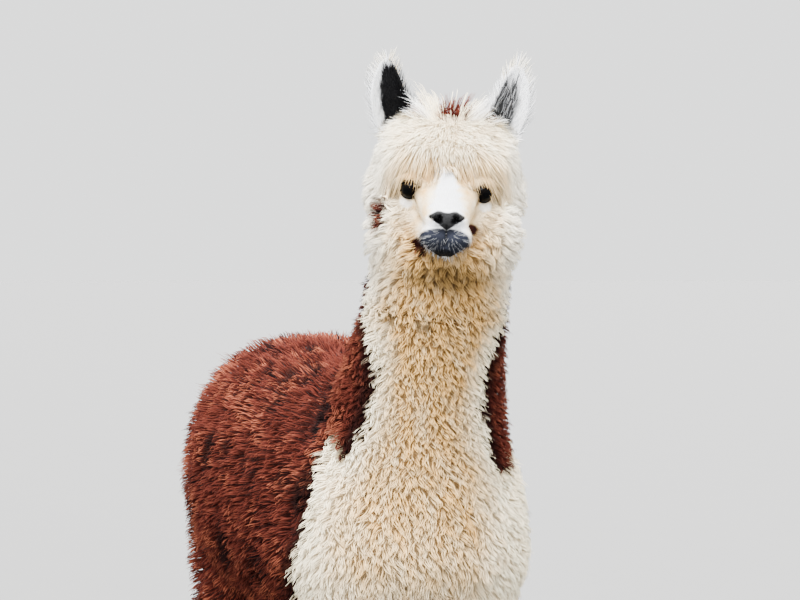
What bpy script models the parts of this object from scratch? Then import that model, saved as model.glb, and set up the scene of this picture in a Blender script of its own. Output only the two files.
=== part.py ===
"""A standing huacaya alpaca in full fleece, modelled life size as a still museum figure.

Metres, +Z up. The animal faces -Y with its own left side at +X, and it stands on Z = 0.
Places are written as (side, forward, height), and spot() turns them into Blender's axes.
The solids reach out to the tips of the coat. The body is shaped whole, as rounded tubes and
ellipsoids melted together, and is then parted with thin flat cuts into named pieces.
"""

import math

import bmesh
import bpy
import numpy as np
from mathutils import Euler, Matrix, Vector

# ---- Driving sizes -------------------------------------------------------------------------
GAP = 0.0003                # clear space left between neighbouring solids
BACK = 0.988                # highest point of the fleeced back, over the loin
BELLY = 0.402               # lowest fleece of the belly
BARREL = 0.264              # half the width of the fleeced trunk
LEG_CUT = 0.372             # height where each leg parts from the trunk
ANKLE_CUT = 0.088           # height where each foot parts from its leg
FORE_LEG = (0.120, 0.235)   # side and forward place of a forefoot
HIND_LEG = (0.130, -0.365)  # side and forward place of a hind foot

HEAD_PLACE = (-0.022, 0.452, 1.250)   # the point midway between the eyes
HEAD_YAW = math.radians(-22)          # the head is turned to the animal's right
HEAD_ROLL = math.radians(3)           # and tipped a little to its left
EYE_SIDE = 0.0580                     # half the distance between the eyeballs' centres
EYE_RADIUS = 0.0185
EYE_FORWARD = 0.008
EAR_LENGTH = 0.150
EAR_WIDTH = 0.064
TOE_LENGTH = 0.045                    # half a toe's length
TOE_SPREAD = 0.0205                   # half the distance between a foot's two toes
NAIL_LENGTH = 0.017

NECK_FOOT = ((0.260, 0.845), (0.78, 1.0))   # cut at the neck's foot: forward, height; its slope
NECK_TOP = ((0.400, 1.090), (0.30, 1.0))    # cut under the jaw
MIDRIFF = -0.03             # forward place that tells forelegs from hind legs

CROP_MARGIN = 0.02          # what is kept past a cut while a node is thinned
RING_POINTS = 32            # points round a large tube
BODY_VOXEL = 0.006          # grid that melts the fleece into one body
FACE_VOXEL = 0.004          # finer grid that adds the face and toes
EAR_VOXEL = 0.0035
EAR_THICKNESS = 0.012       # an ear's flap with its short wool
TRIANGLES = {"trunk": 1540, "neck": 560, "head": 2000, "leg": 190, "foot": 180, "ear": 300}

CREAM = (0.80, 0.74, 0.62)
CHESTNUT = (0.27, 0.075, 0.045)
SLATE = (0.05, 0.05, 0.07)
HORN = (0.06, 0.05, 0.045)


def spot(side, forward, height):
    """A place on the animal in Blender's axes."""
    return Vector((side, -forward, height))


# ---- Modelling helpers ---------------------------------------------------------------------
def clear_scene():
    for old in list(bpy.data.objects):
        bpy.data.objects.remove(old)


def new_object(name, mesh):
    made = bpy.data.objects.new(name, mesh)
    bpy.context.scene.collection.objects.link(made)
    return made


def object_from(name, bm):
    mesh = bpy.data.meshes.new(name)
    bmesh.ops.recalc_face_normals(bm, faces=bm.faces)
    bm.to_mesh(mesh)
    bm.free()
    return new_object(name, mesh)


def settle(obj):
    """Applies the object's modifiers and its place, and leaves a plain mesh."""
    graph = bpy.context.evaluated_depsgraph_get()
    mesh = bpy.data.meshes.new_from_object(obj.evaluated_get(graph), depsgraph=graph)
    mesh.transform(obj.matrix_world)
    obj.modifiers.clear()
    obj.data = mesh
    obj.matrix_world = Matrix.Identity(4)
    return obj


def copy_of(obj, name):
    return new_object(name, obj.data.copy())


def joined(name, objects):
    """One object that holds every shape of these, which are removed."""
    bm = bmesh.new()
    bpy.context.view_layer.update()
    for obj in objects:
        mesh = obj.data.copy()
        mesh.transform(obj.matrix_world)
        bm.from_mesh(mesh)
        bpy.data.objects.remove(obj)
    mesh = bpy.data.meshes.new(name)
    bm.to_mesh(mesh)
    bm.free()
    return new_object(name, mesh)


def melted(obj, voxel, smoothing):
    """Overlapping shapes made into one closed skin, with their creases softened."""
    remesh = obj.modifiers.new("melt", "REMESH")
    remesh.mode = "VOXEL"
    remesh.voxel_size = voxel
    smooth = obj.modifiers.new("soften", "SMOOTH")
    smooth.factor = 0.5
    smooth.iterations = smoothing
    return settle(obj)


def thinned(obj, triangles):
    """The same form with about this many triangles."""
    now = sum(len(face.vertices) - 2 for face in obj.data.polygons)
    thin = obj.modifiers.new("thin", "DECIMATE")
    thin.ratio = min(1.0, triangles / now)
    return settle(obj)


def kept_side(obj, place, away):
    """Cuts the body flat at a place, removes what lies towards away, and closes the cut."""
    bm = bmesh.new()
    bm.from_mesh(obj.data)
    geometry = bm.verts[:] + bm.edges[:] + bm.faces[:]
    cut = bmesh.ops.bisect_plane(
        bm, geom=geometry, plane_co=place, plane_no=away, clear_outer=True, dist=1e-7
    )
    rim = [item for item in cut["geom_cut"] if isinstance(item, bmesh.types.BMEdge)]
    if rim:
        bmesh.ops.holes_fill(bm, edges=rim, sides=0)
    bmesh.ops.recalc_face_normals(bm, faces=bm.faces)
    bm.to_mesh(obj.data)
    bm.free()
    return obj


def boolean(obj, other, operation):
    """Applies a Boolean with another mesh, which stays as it is."""
    change = obj.modifiers.new("boolean", "BOOLEAN")
    change.operation = operation
    change.solver = "EXACT"
    change.object = other
    return settle(obj)


def swollen(obj, by):
    """A copy that is bigger by this much all over, to leave a gap when it cuts."""
    copy = copy_of(obj, obj.name + "_swollen")
    swell = copy.modifiers.new("swell", "DISPLACE")
    swell.mid_level = 0.0
    swell.strength = by
    return settle(copy)


def drop(*objects):
    for obj in objects:
        bpy.data.objects.remove(obj)


def through(rows, count):
    """Rows of sizes read evenly from a smooth curve that passes through all of them."""
    rows = np.array(rows, float)
    ends = 2 * rows[[0, -1]] - rows[[1, -2]]
    known = np.vstack([ends[0], rows, ends[1]])
    place = np.linspace(0, len(rows) - 1, count)
    start = np.minimum(place.astype(int), len(rows) - 2)
    t = (place - start)[:, None]
    before, here, there, after = (known[start + i] for i in range(4))
    return here + 0.5 * t * (
        there - before
        + t * (2 * before - 5 * here + 4 * there - after + t * (3 * (here - there) + after - before))
    )


def tube(name, rows, rings=28, round_ends=(0.5, 0.5), points=RING_POINTS, square=1.0,
         dome_rings=3, facing=None):
    """A closed tube along a bent line, square below 1 giving it fuller corners.

    Its rings stand square to the line, or all face one way where facing says so.

    Each row is side, forward, height, half width, reach on its upper side and on its lower side.
    A tube that runs forward has its upper side up, one that rises has it at the back, and one
    that goes down has it in front. round_ends are the domed ends' lengths as shares of their size.
    """
    table = through(rows, rings)
    centres = [spot(*row[:3]) for row in table]
    sizes = table[:, 3:]
    steps = dome_rings + 1
    loops = []
    for index, centre in enumerate(centres):
        along = centres[min(index + 1, rings - 1)] - centres[max(index - 1, 0)]
        loops.append((centre, facing or along.normalized(), sizes[index]))
    for end, share, sense in ((0, round_ends[0], -1), (-1, round_ends[1], 1)):
        centre, ahead, size = loops[end]
        dome = []
        for step in range(1, steps):
            angle = step * math.pi / 2 / steps
            reach = share * float(np.mean(size)) * math.sin(angle)
            dome.append((centre + ahead * sense * reach, ahead, size * math.cos(angle)))
        loops = dome[::-1] + loops if end == 0 else loops + dome
    bm = bmesh.new()
    previous = None
    first = None
    for centre, ahead, (half, upper, lower) in loops:
        across = (Vector((1, 0, 0)) - ahead * ahead.x).normalized()
        up = ahead.cross(across)
        ring = []
        for point in range(points):
            angle = 2 * math.pi * point / points
            rise = fuller(math.sin(angle), square)
            aside = fuller(math.cos(angle), square)
            reach = rise * (upper if rise > 0 else lower)
            ring.append(bm.verts.new(centre + across * half * aside + up * reach))
        if previous:
            for point in range(points):
                after = (point + 1) % points
                bm.faces.new((previous[point], previous[after], ring[after], ring[point]))
        first = first or ring
        previous = ring
    bm.faces.new(first)
    bm.faces.new(previous)
    return object_from(name, bm)


def fuller(value, power):
    return math.copysign(abs(value) ** power, value)


def ball(name, place, radii, frame=None, turn=(0, 0, 0), segments=24):
    """An ellipsoid with its half sizes given as (side, forward, height)."""
    bm = bmesh.new()
    bmesh.ops.create_uvsphere(bm, u_segments=segments, v_segments=segments // 2, radius=1)
    made = object_from(name, bm)
    local = Matrix.Translation(spot(*place)) @ Euler(turn).to_matrix().to_4x4()
    made.matrix_world = (frame or Matrix.Identity(4)) @ local @ Matrix.Diagonal((*radii, 1))
    return settle(made)


def dressed(obj, name, colour, roughness):
    """Gives a finished node its name, its material and smooth shading."""
    finish = bpy.data.materials.new(name)
    finish.use_nodes = True
    shader = finish.node_tree.nodes["Principled BSDF"]
    shader.inputs["Base Color"].default_value = (*colour, 1)
    shader.inputs["Roughness"].default_value = roughness
    shader.inputs["Metallic"].default_value = 0.0
    obj.name = name
    obj.data.name = name
    obj.data.materials.clear()
    obj.data.materials.append(finish)
    obj.data.shade_smooth()
    obj.data.set_sharp_from_angle(angle=math.radians(40))
    return obj


# ---- The fleeced body ----------------------------------------------------------------------
def head_frame():
    """The head's own axes: its middle between the eyes, turned and tipped."""
    turn = Euler((0, HEAD_ROLL, HEAD_YAW)).to_matrix().to_4x4()
    return Matrix.Translation(spot(*HEAD_PLACE)) @ turn


def trunk_shape():
    """The barrel of the body, from the rump forward to the breast."""
    outline = [  # forward, half width, height of the widest place, top, bottom
        (-0.505, 0.092, 0.760, 0.855, 0.670),
        (-0.470, 0.160, 0.745, 0.920, 0.585),
        (-0.390, 0.222, 0.715, 0.973, 0.490),
        (-0.250, 0.260, 0.695, BACK, 0.432),
        (-0.100, BARREL, 0.685, BACK - 0.003, BELLY + 0.006),
        (0.050, BARREL - 0.006, 0.670, BACK - 0.016, BELLY),
        (0.170, 0.246, 0.635, BACK - 0.030, BELLY + 0.004),
        (0.260, 0.230, 0.600, 0.930, BELLY + 0.012),
        (0.335, 0.194, 0.600, 0.860, 0.448),
        (0.382, 0.130, 0.615, 0.770, 0.525),
    ]
    rows = [
        (0, forward, middle, half, top - middle, middle - bottom)
        for forward, half, middle, top, bottom in outline
    ]
    return tube("trunk_shape", rows, rings=36, round_ends=(0.30, 0.18), square=0.94,
                facing=Vector((0, -1, 0)))


def neck_shape():
    """The woolly neck, rising from the breast and leaning a little forward."""
    return tube("neck_shape", [
        (0.000, 0.220, 0.620, 0.200, 0.160, 0.195),
        (0.000, 0.255, 0.770, 0.184, 0.185, 0.170),
        (0.000, 0.294, 0.890, 0.159, 0.162, 0.145),
        (0.000, 0.335, 1.000, 0.141, 0.130, 0.128),
        (0.000, 0.372, 1.090, 0.134, 0.122, 0.118),
        (-0.005, 0.395, 1.170, 0.134, 0.118, 0.110),
    ])


def head_wool(frame):
    """The ball of wool round the skull: crown, cheeks, brow and the ruff under the jaw."""
    return [
        ball("crown", (0, -0.062, 0.042), (0.137, 0.092, 0.113), frame),
        ball("brow", (0, -0.018, 0.060), (0.116, 0.058, 0.052), frame),
        ball("skull", (0, -0.074, -0.004), (0.153, 0.084, 0.115), frame),
        ball("ruff", (0, -0.046, -0.108), (0.139, 0.098, 0.082), frame),
        *[
            ball("cheek", (side * 0.084, -0.026, -0.078), (0.062, 0.058, 0.076), frame)
            for side in (-1, 1)
        ],
    ]


def fore_leg(side):
    """A foreleg in its wool, from the shoulder down to the fetlock."""
    x, forward = side * FORE_LEG[0], FORE_LEG[1]
    return tube("fore_leg", [
        (x * 1.00, forward - 0.010, 0.640, 0.100, 0.120, 0.140),
        (x * 1.02, forward - 0.004, 0.500, 0.090, 0.100, 0.108),
        (x * 1.02, forward + 0.004, 0.400, 0.073, 0.080, 0.084),
        (x, forward + 0.010, 0.310, 0.061, 0.067, 0.061),
        (x, forward + 0.004, 0.200, 0.054, 0.055, 0.054),
        (x, forward, 0.110, 0.051, 0.052, 0.050),
        (x, forward + 0.010, 0.048, 0.043, 0.045, 0.040),
    ], round_ends=(0.4, 0.3))


def hind_leg(side):
    """A hind leg: broad thigh, stifle, the hock set back, and an upright shank."""
    x, forward = side * HIND_LEG[0], HIND_LEG[1]
    return tube("hind_leg", [
        (x * 0.95, forward + 0.050, 0.660, 0.105, 0.160, 0.160),
        (x * 0.98, forward + 0.062, 0.530, 0.100, 0.145, 0.150),
        (x * 1.02, forward + 0.034, 0.420, 0.082, 0.106, 0.112),
        (x * 1.02, forward - 0.008, 0.325, 0.062, 0.070, 0.070),
        (x, forward - 0.016, 0.240, 0.054, 0.058, 0.056),
        (x, forward - 0.006, 0.120, 0.051, 0.053, 0.049),
        (x, forward + 0.010, 0.048, 0.043, 0.045, 0.040),
    ], round_ends=(0.4, 0.3))


def toes(x, forward):
    """The two padded toes of a foot, side by side."""
    return [
        ball("toe", (x + side * TOE_SPREAD, forward + 0.028, 0.022),
             (0.0225, TOE_LENGTH, 0.034))
        for side in (-1, 1)
    ]


def face_shapes(frame):
    """The short-haired face: a wedge from the forehead to the lips, nose, lips and chin."""
    wedge = tube("wedge", [
        (0, -0.030, 0.010, 0.070, 0.052, 0.075),
        (0, 0.020, -0.008, 0.061, 0.041, 0.062),
        (0, 0.060, -0.035, 0.048, 0.033, 0.046),
        (0, 0.098, -0.058, 0.038, 0.025, 0.034),
    ], rings=16)
    wedge.matrix_world = frame
    bpy.context.view_layer.update()
    lobes = [
        ball("lip", (side * 0.0225, 0.099, -0.084), (0.0285, 0.0270, 0.0225), frame)
        for side in (-1, 1)
    ]
    lids = [
        ball("lid", (side * 0.0535, 0.003, 0.001), (0.0255, 0.0215, 0.0245), frame)
        for side in (-1, 1)
    ]
    return [
        settle(wedge),
        ball("nose", (0, 0.114, -0.053), (0.0305, 0.0175, 0.0195), frame),
        ball("chin", (0, 0.086, -0.104), (0.0300, 0.0280, 0.0190), frame),
        ball("jaw", (0, 0.040, -0.085), (0.0520, 0.0600, 0.0400), frame),
        *lobes,
        *lids,
    ]


def whole_body(frame):
    """Everything of flesh and fleece in one closed form, its toes reaching below the floor."""
    fleece = joined("fleece", [
        trunk_shape(),
        neck_shape(),
        *head_wool(frame),
        *[leg(side) for leg in (fore_leg, hind_leg) for side in (-1, 1)],
    ])
    fleece = melted(fleece, BODY_VOXEL, 14)
    feet = [
        toe
        for place in (FORE_LEG, HIND_LEG)
        for side in (-1, 1)
        for toe in toes(side * place[0], place[1])
    ]
    body = joined("body", [fleece, *face_shapes(frame), *feet])
    return melted(body, FACE_VOXEL, 3)


# ---- Parting the body into nodes -----------------------------------------------------------
def parted(body, name, triangles, cuts):
    """One node of the body: cropped, thinned to its own fineness, and bounded by flat cuts.

    Each cut is a place on it and the direction of what it takes off.
    """
    node = copy_of(body, name)
    cuts = [(Vector(place), Vector(away).normalized()) for place, away in cuts]
    for place, away in cuts:
        kept_side(node, place + away * CROP_MARGIN, away)
    thinned(node, triangles)
    for place, away in cuts:
        kept_side(node, place - away * GAP / 2, away)
    return node


def across_neck(cut, rising):
    """A slanting cut of the neck, taking off what is above it (rising 1) or below it (-1)."""
    place, slope = cut
    return spot(0, *place), spot(0, *slope) * rising


def body_nodes(body):
    """Trunk, neck, head, legs and feet, each up to the flat cuts it shares with the next."""
    up, down = (0, 0, 1), (0, 0, -1)
    leg_top = (0, 0, LEG_CUT)
    ankle = (0, 0, ANKLE_CUT)
    floor = (0, 0, 0)
    cuts = {
        "trunk": [across_neck(NECK_FOOT, 1), (leg_top, down)],
        "neck": [across_neck(NECK_TOP, 1), across_neck(NECK_FOOT, -1)],
        "head": [across_neck(NECK_TOP, -1)],
    }
    nodes = {name: parted(body, name, TRIANGLES[name], cuts[name]) for name in cuts}
    for end, forward in (("fore", 1), ("hind", -1)):
        for hand, side in (("left", 1), ("right", -1)):
            corner = [
                ((0, 0, 0), (-side, 0, 0)),
                (spot(0, MIDRIFF, 0), spot(0, -forward, 0)),
            ]
            leg = f"{end}leg_{hand}"
            foot = f"{end}foot_{hand}"
            shank = [*corner, (leg_top, up), (ankle, down)]
            sole = [*corner, (ankle, up), (floor, down)]
            nodes[leg] = parted(body, leg, TRIANGLES["leg"], shank)
            nodes[foot] = parted(body, foot, TRIANGLES["foot"], sole)
    return nodes


def nostrils(frame):
    """Two slanted slots that open the nose."""
    return joined("nostrils", [
        ball("nostril", (side * 0.0165, 0.1260, -0.0530), (0.0100, 0.0100, 0.0050), frame,
             turn=(0, side * math.radians(-30), 0), segments=10)
        for side in (-1, 1)
    ])


def mouth_line(frame):
    """A thin lens that cuts the line between the lips."""
    return ball("mouth", (0, 0.086, -0.1015), (0.047, 0.044, 0.0017), frame, segments=16)


def ear(frame, side, name):
    """A cupped, spear-shaped ear that opens forward, thickened by its short wool."""
    rows, columns = 14, 8
    cup = math.radians(78)
    bm = bmesh.new()
    grid = []
    for row in range(rows):
        rise = row / (rows - 1)
        half = EAR_WIDTH / 2 * (math.sin(math.pi * (0.30 + 0.70 * rise)) ** 0.62 + 0.06)
        spine = Vector((
            side * (0.086 + 0.030 * rise + 0.008 * math.sin(math.pi * rise)),
            0.062 - 0.004 * rise - 0.016 * math.sin(math.pi * rise),
            0.084 + EAR_LENGTH * rise,
        ))
        line = []
        for column in range(columns + 1):
            angle = cup * (2 * column / columns - 1)
            across = half * math.sin(angle) / math.sin(cup)
            deep = half * 0.75 * (math.cos(angle) - math.cos(cup))
            line.append(bm.verts.new(spine + Vector((across, deep, 0))))
        grid.append(line)
    for lower, upper in zip(grid, grid[1:]):
        for column in range(columns):
            corners = (lower[column], lower[column + 1], upper[column + 1], upper[column])
            bm.faces.new(corners)
    sheet = object_from(name, bm)
    turn = Matrix.Translation((side * 0.09, 0.06, 0.1))
    turn = turn @ Matrix.Rotation(side * math.radians(8), 4, "Z") @ turn.inverted()
    sheet.matrix_world = frame @ turn
    thick = sheet.modifiers.new("thickness", "SOLIDIFY")
    thick.thickness = EAR_THICKNESS
    thick.offset = 0.0
    sheet = settle(sheet)
    return melted(sheet, EAR_VOXEL, 3)


def tail_shape():
    """The woolly tail, hanging close behind the rump."""
    return tube("tail", [
        (0.000, -0.440, 0.855, 0.046, 0.040, 0.040),
        (0.000, -0.500, 0.842, 0.056, 0.046, 0.044),
        (0.000, -0.540, 0.780, 0.062, 0.044, 0.044),
        (0.002, -0.548, 0.700, 0.054, 0.038, 0.040),
        (0.004, -0.538, 0.630, 0.030, 0.024, 0.026),
    ], rings=7, round_ends=(0.5, 0.9), points=12, dome_rings=2)


def nail(x, forward):
    """The curved nail at the tip of a toe, tapering to a blunt point just over the floor."""
    return tube("nail", [
        (x, forward - 0.006, 0.0210, 0.0085, 0.0085, 0.0085),
        (x, forward + NAIL_LENGTH * 0.45, 0.0165, 0.0072, 0.0070, 0.0075),
        (x, forward + NAIL_LENGTH, 0.0085, 0.0042, 0.0035, 0.0045),
    ], rings=3, round_ends=(0.2, 0.4), points=7, dome_rings=1)


def centred(objects):
    """Moves the whole animal so that its box stands centred over the origin."""
    corners = np.array([v.co for obj in objects for v in obj.data.vertices])
    low, high = corners.min(axis=0), corners.max(axis=0)
    middle = (low + high) / 2
    for obj in objects:
        obj.data.transform(Matrix.Translation((-middle[0], -middle[1], -low[2])))


def build():
    clear_scene()
    frame = head_frame()
    body = whole_body(frame)
    nodes = body_nodes(body)
    drop(body)

    for cutter in (nostrils(frame), mouth_line(frame)):
        boolean(nodes["head"], cutter, "DIFFERENCE")
        drop(cutter)
    for hand, side in (("left", 1), ("right", -1)):
        place = (side * EYE_SIDE, EYE_FORWARD, 0.0)
        eye = ball(f"eye_{hand}", place, (EYE_RADIUS,) * 3, frame, segments=14)
        socket = ball("socket", place, (EYE_RADIUS + 2 * GAP,) * 3, frame, segments=14)
        boolean(nodes["head"], socket, "DIFFERENCE")
        nodes[f"eye_{hand}"] = eye
        drop(socket)

    grown_head = swollen(nodes["head"], 2 * GAP)
    for hand, side in (("left", 1), ("right", -1)):
        shell = thinned(ear(frame, side, f"ear_{hand}"), TRIANGLES["ear"])
        nodes[f"ear_{hand}"] = boolean(shell, grown_head, "DIFFERENCE")
    drop(grown_head)

    grown_trunk = swollen(nodes["trunk"], 2 * GAP)
    nodes["tail"] = boolean(tail_shape(), grown_trunk, "DIFFERENCE")
    drop(grown_trunk)

    for end, place in (("fore", FORE_LEG), ("hind", HIND_LEG)):
        for hand, side in (("left", 1), ("right", -1)):
            foot = nodes[f"{end}foot_{hand}"]
            for which, offset in (("outer", 1), ("inner", -1)):
                x = side * (place[0] + offset * TOE_SPREAD)
                horn = nail(x, place[1] + 0.028 + TOE_LENGTH - 0.008)
                grown = swollen(horn, 2 * GAP)
                boolean(foot, grown, "DIFFERENCE")
                drop(grown)
                nodes[f"nail_{end}_{hand}_{which}"] = horn

    finishes = {"eye": (SLATE, 0.08), "nail": (HORN, 0.4)}
    chestnut = ("trunk", "tail", "hindleg")
    for name, obj in nodes.items():
        kind = name.split("_")[0]
        plain = (CHESTNUT if kind in chestnut else CREAM, 0.9)
        dressed(obj, name, *finishes.get(kind, plain))
    centred(list(nodes.values()))


build()
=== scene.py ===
"""A standing huacaya alpaca in full fleece: the skin, wool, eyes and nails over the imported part.

Metres, +Z up. The animal faces -Y and its own left side is at +X. Places on the head are written
as (side, forward, height) from the point midway between the eyes. The coat is solid mesh: tufts
with a closed tip and foot, rooted on the skin, lying the way the fleece lies.
"""

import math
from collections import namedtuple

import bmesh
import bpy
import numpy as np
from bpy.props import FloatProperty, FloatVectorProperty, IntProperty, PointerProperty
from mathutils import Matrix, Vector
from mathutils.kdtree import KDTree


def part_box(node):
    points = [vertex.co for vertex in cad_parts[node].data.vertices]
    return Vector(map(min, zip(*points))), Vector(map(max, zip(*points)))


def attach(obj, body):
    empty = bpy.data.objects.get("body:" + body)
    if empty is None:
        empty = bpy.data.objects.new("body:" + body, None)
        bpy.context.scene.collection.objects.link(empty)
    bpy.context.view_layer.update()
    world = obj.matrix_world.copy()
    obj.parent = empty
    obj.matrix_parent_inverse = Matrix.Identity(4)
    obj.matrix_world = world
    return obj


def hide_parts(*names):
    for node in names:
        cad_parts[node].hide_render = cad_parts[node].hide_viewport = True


bl_info = {
    "name": "Alpaca Figure",
    "version": (1, 0, 0),
    "blender": (4, 5, 0),
    "location": "3D View > Sidebar > Alpaca",
    "description": "Dresses the alpaca figure in skin, wool, eyes and nails, and sets its studio",
    "category": "Object",
}

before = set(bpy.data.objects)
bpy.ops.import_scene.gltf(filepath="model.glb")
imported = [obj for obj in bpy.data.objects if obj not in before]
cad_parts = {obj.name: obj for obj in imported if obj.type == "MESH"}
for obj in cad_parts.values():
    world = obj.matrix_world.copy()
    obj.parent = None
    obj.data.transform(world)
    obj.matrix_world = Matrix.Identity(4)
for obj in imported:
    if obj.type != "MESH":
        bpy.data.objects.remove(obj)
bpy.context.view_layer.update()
BODY = "root"
SKIN = "skin"
MAP = "OFBake"
HANDS = {"left": 1, "right": -1}       # the animal's own

# ---- Where things are, read from the frame -------------------------------------------------


def middle_of(node):
    low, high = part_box(node)
    return (low + high) / 2


EYES = {hand: middle_of(f"eye_{hand}") for hand in HANDS}
EYE_RADIUS = (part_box("eye_left")[1].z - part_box("eye_left")[0].z) / 2
HEAD = (EYES["left"] + EYES["right"]) / 2
ACROSS = (EYES["left"] - EYES["right"]).normalized()
BEHIND = Vector((0, 0, 1)).cross(ACROSS).normalized()
UPRIGHT = ACROSS.cross(BEHIND)
HEAD_AXES = np.array([ACROSS, -BEHIND, UPRIGHT])
EYE_SET = 0.004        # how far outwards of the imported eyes' middles the eyeballs sit
EYES = {hand: EYES[hand] + ACROSS * EYE_SET * sign for hand, sign in HANDS.items()}
EYE_SIDE = (EYES["left"] - EYES["right"]).length / 2
FLOOR_REACH = 150.0    # from the middle of the studio's floor to its edges
FLESH = [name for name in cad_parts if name.split("_")[0] not in ("eye", "nail")]
NAILS = [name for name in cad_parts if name.startswith("nail")]

# ---- Shapes the coat is set out by ---------------------------------------------------------
JAW_PLANE = (0.409, 1.090, 0.30)       # forward, height and slope of the plane under the jaw
WITHERS_PLANE = (0.269, 0.845, 0.78)   # and of the plane at the neck's foot
NECK_LINE = (                          # height, how far forward the middle of the neck is
    (0.62, 0.229), (0.77, 0.264), (0.89, 0.303), (1.00, 0.344), (1.09, 0.381), (1.17, 0.404),
)
MANTLE_TURN = 17.0                     # degrees that the cream front is turned to its right
MANTLE_EDGE = (                        # height, degrees from the cream front's middle to the edge
    (0.735, 66), (0.79, 49), (0.86, 45), (0.93, 48), (0.975, 60), (1.03, 82), (1.09, 92),
    (1.20, 140), (1.40, 152),
)
MANTLE_FOOT = 0.745
SADDLE_EDGE = (                        # height, how far forward the chestnut of the body reaches
    (0.40, -0.06), (0.45, 0.06), (0.51, 0.165), (0.59, 0.245), (0.66, 0.268), (0.75, 0.276),
    (0.80, 0.266), (0.90, 0.300),
)
# The front's tan is a stain; its deepest rows, under the jaw, are also painted shade of the ruff
# above.
TAN = (                                # height on the head, how tan the middle of the front is
    (-0.80, 0.25), (-0.70, 0.60), (-0.60, 0.85), (-0.42, 0.88), (-0.30, 0.97), (-0.22, 0.95),
    (-0.175, 1.00), (-0.13, 1.00), (-0.09, 0.85), (-0.04, 0.52), (0.03, 0.50), (0.055, 0.25),
    (0.13, 0.06),
)
CROWN_BALL = ((0.0, -0.062, 0.042), (0.137, 0.092, 0.113))
CROWN_SPOT = (0.0, -0.060, 0.120)      # the wool of the head parts from here
NOSE_SPOT = (0.0, 0.125, -0.075)       # the short hair of the face parts from here
EAR_FOOT = (0.086, -0.062, 0.084)
EAR_LENGTH = 0.150
EAR_HALF_WIDTH = 0.032
EAR_WIDENING = 0.008                   # how far the inner edges are drawn inwards at their feet

FACE_EDGE = (                          # height on the head, half the width of the short-haired face
    (-0.125, 0.004), (-0.119, 0.010), (-0.113, 0.020), (-0.106, 0.030), (-0.095, 0.038),
    (-0.080, 0.042), (-0.068, 0.045), (-0.058, 0.050), (-0.045, 0.057), (-0.028, 0.060),
    (-0.012, 0.058), (-0.002, 0.053), (0.004, 0.044), (0.010, 0.030), (0.017, 0.021),
    (0.026, 0.015), (0.034, 0.009),
)
BLAZE = (                              # height on the head, half the width of the white of the face
    (-0.130, 0.010), (-0.114, 0.020), (-0.104, 0.030), (-0.092, 0.040), (-0.075, 0.041),
    (-0.062, 0.037), (-0.046, 0.029), (-0.026, 0.029), (0.000, 0.020), (0.024, 0.012),
    (0.036, 0.005),
)
TOPKNOT = ((0.008, -0.068, 0.134), (0.066, 0.038, 0.034))   # middle and half sizes

# Patches on the head: middle, half sizes, and for dark ones a soft edge and how dark they are.
CHEEK_PATCH = ((-0.124, -0.010, -0.047), (0.0120, 0.050, 0.035))
CHEEK_STREAKS = ((-0.109, 0.0, -0.024), (0.014, 0.045, 0.012))
MOUTH_PATCHES = (
    ((-0.0475, 0.028, -0.099), (0.0140, 0.026, 0.0145)),
    ((-0.0390, 0.026, -0.115), (0.0085, 0.020, 0.0090)),
    ((0.0470, 0.022, -0.0655), (0.0120, 0.020, 0.0105)),
    ((0.0420, 0.022, -0.0800), (0.0065, 0.018, 0.0055)),
)
# Marks painted dark: the crease under the jaw and the creases of the bridge are painted shade, and
# the mouth is dark hide with painted shade along its line.
SHADE_AND_DARK_MARKS = (
    ((0.0, 0.02, -0.158), (0.080, 0.12, 0.022), 0.5, 0.55),         # the crease under the jaw
    ((-0.002, 0.09, -0.1090), (0.017, 0.06, 0.0075), 0.3, 0.98),    # the mouth
    ((-0.0205, 0.03, 0.013), (0.0035, 0.03, 0.012), 0.5, 0.30),     # creases of the bridge
    ((0.0300, 0.03, 0.0075), (0.0140, 0.03, 0.003), 0.5, 0.30),
    ((-0.0330, 0.03, 0.0045), (0.0110, 0.03, 0.003), 0.5, 0.30),
)
# Round the eyes: the outer corners are dark hair with painted shade, the wider marks round them are
# painted shade, and the inner corners are dark hide.
SHADE_AND_DARK_PAIRS = (                         # on both sides of the head
    ((0.0845, 0.0, 0.0), (0.005, 0.03, 0.012), 0.5, 0.50),          # the eyes' outer corners
    ((0.0900, 0.0, 0.0), (0.010, 0.04, 0.020), 0.5, 0.60),          # and the shade round them
    ((0.0470, 0.02, -0.0105), (0.006, 0.02, 0.002), 0.5, 0.60),     # and their inner corners
)

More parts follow.
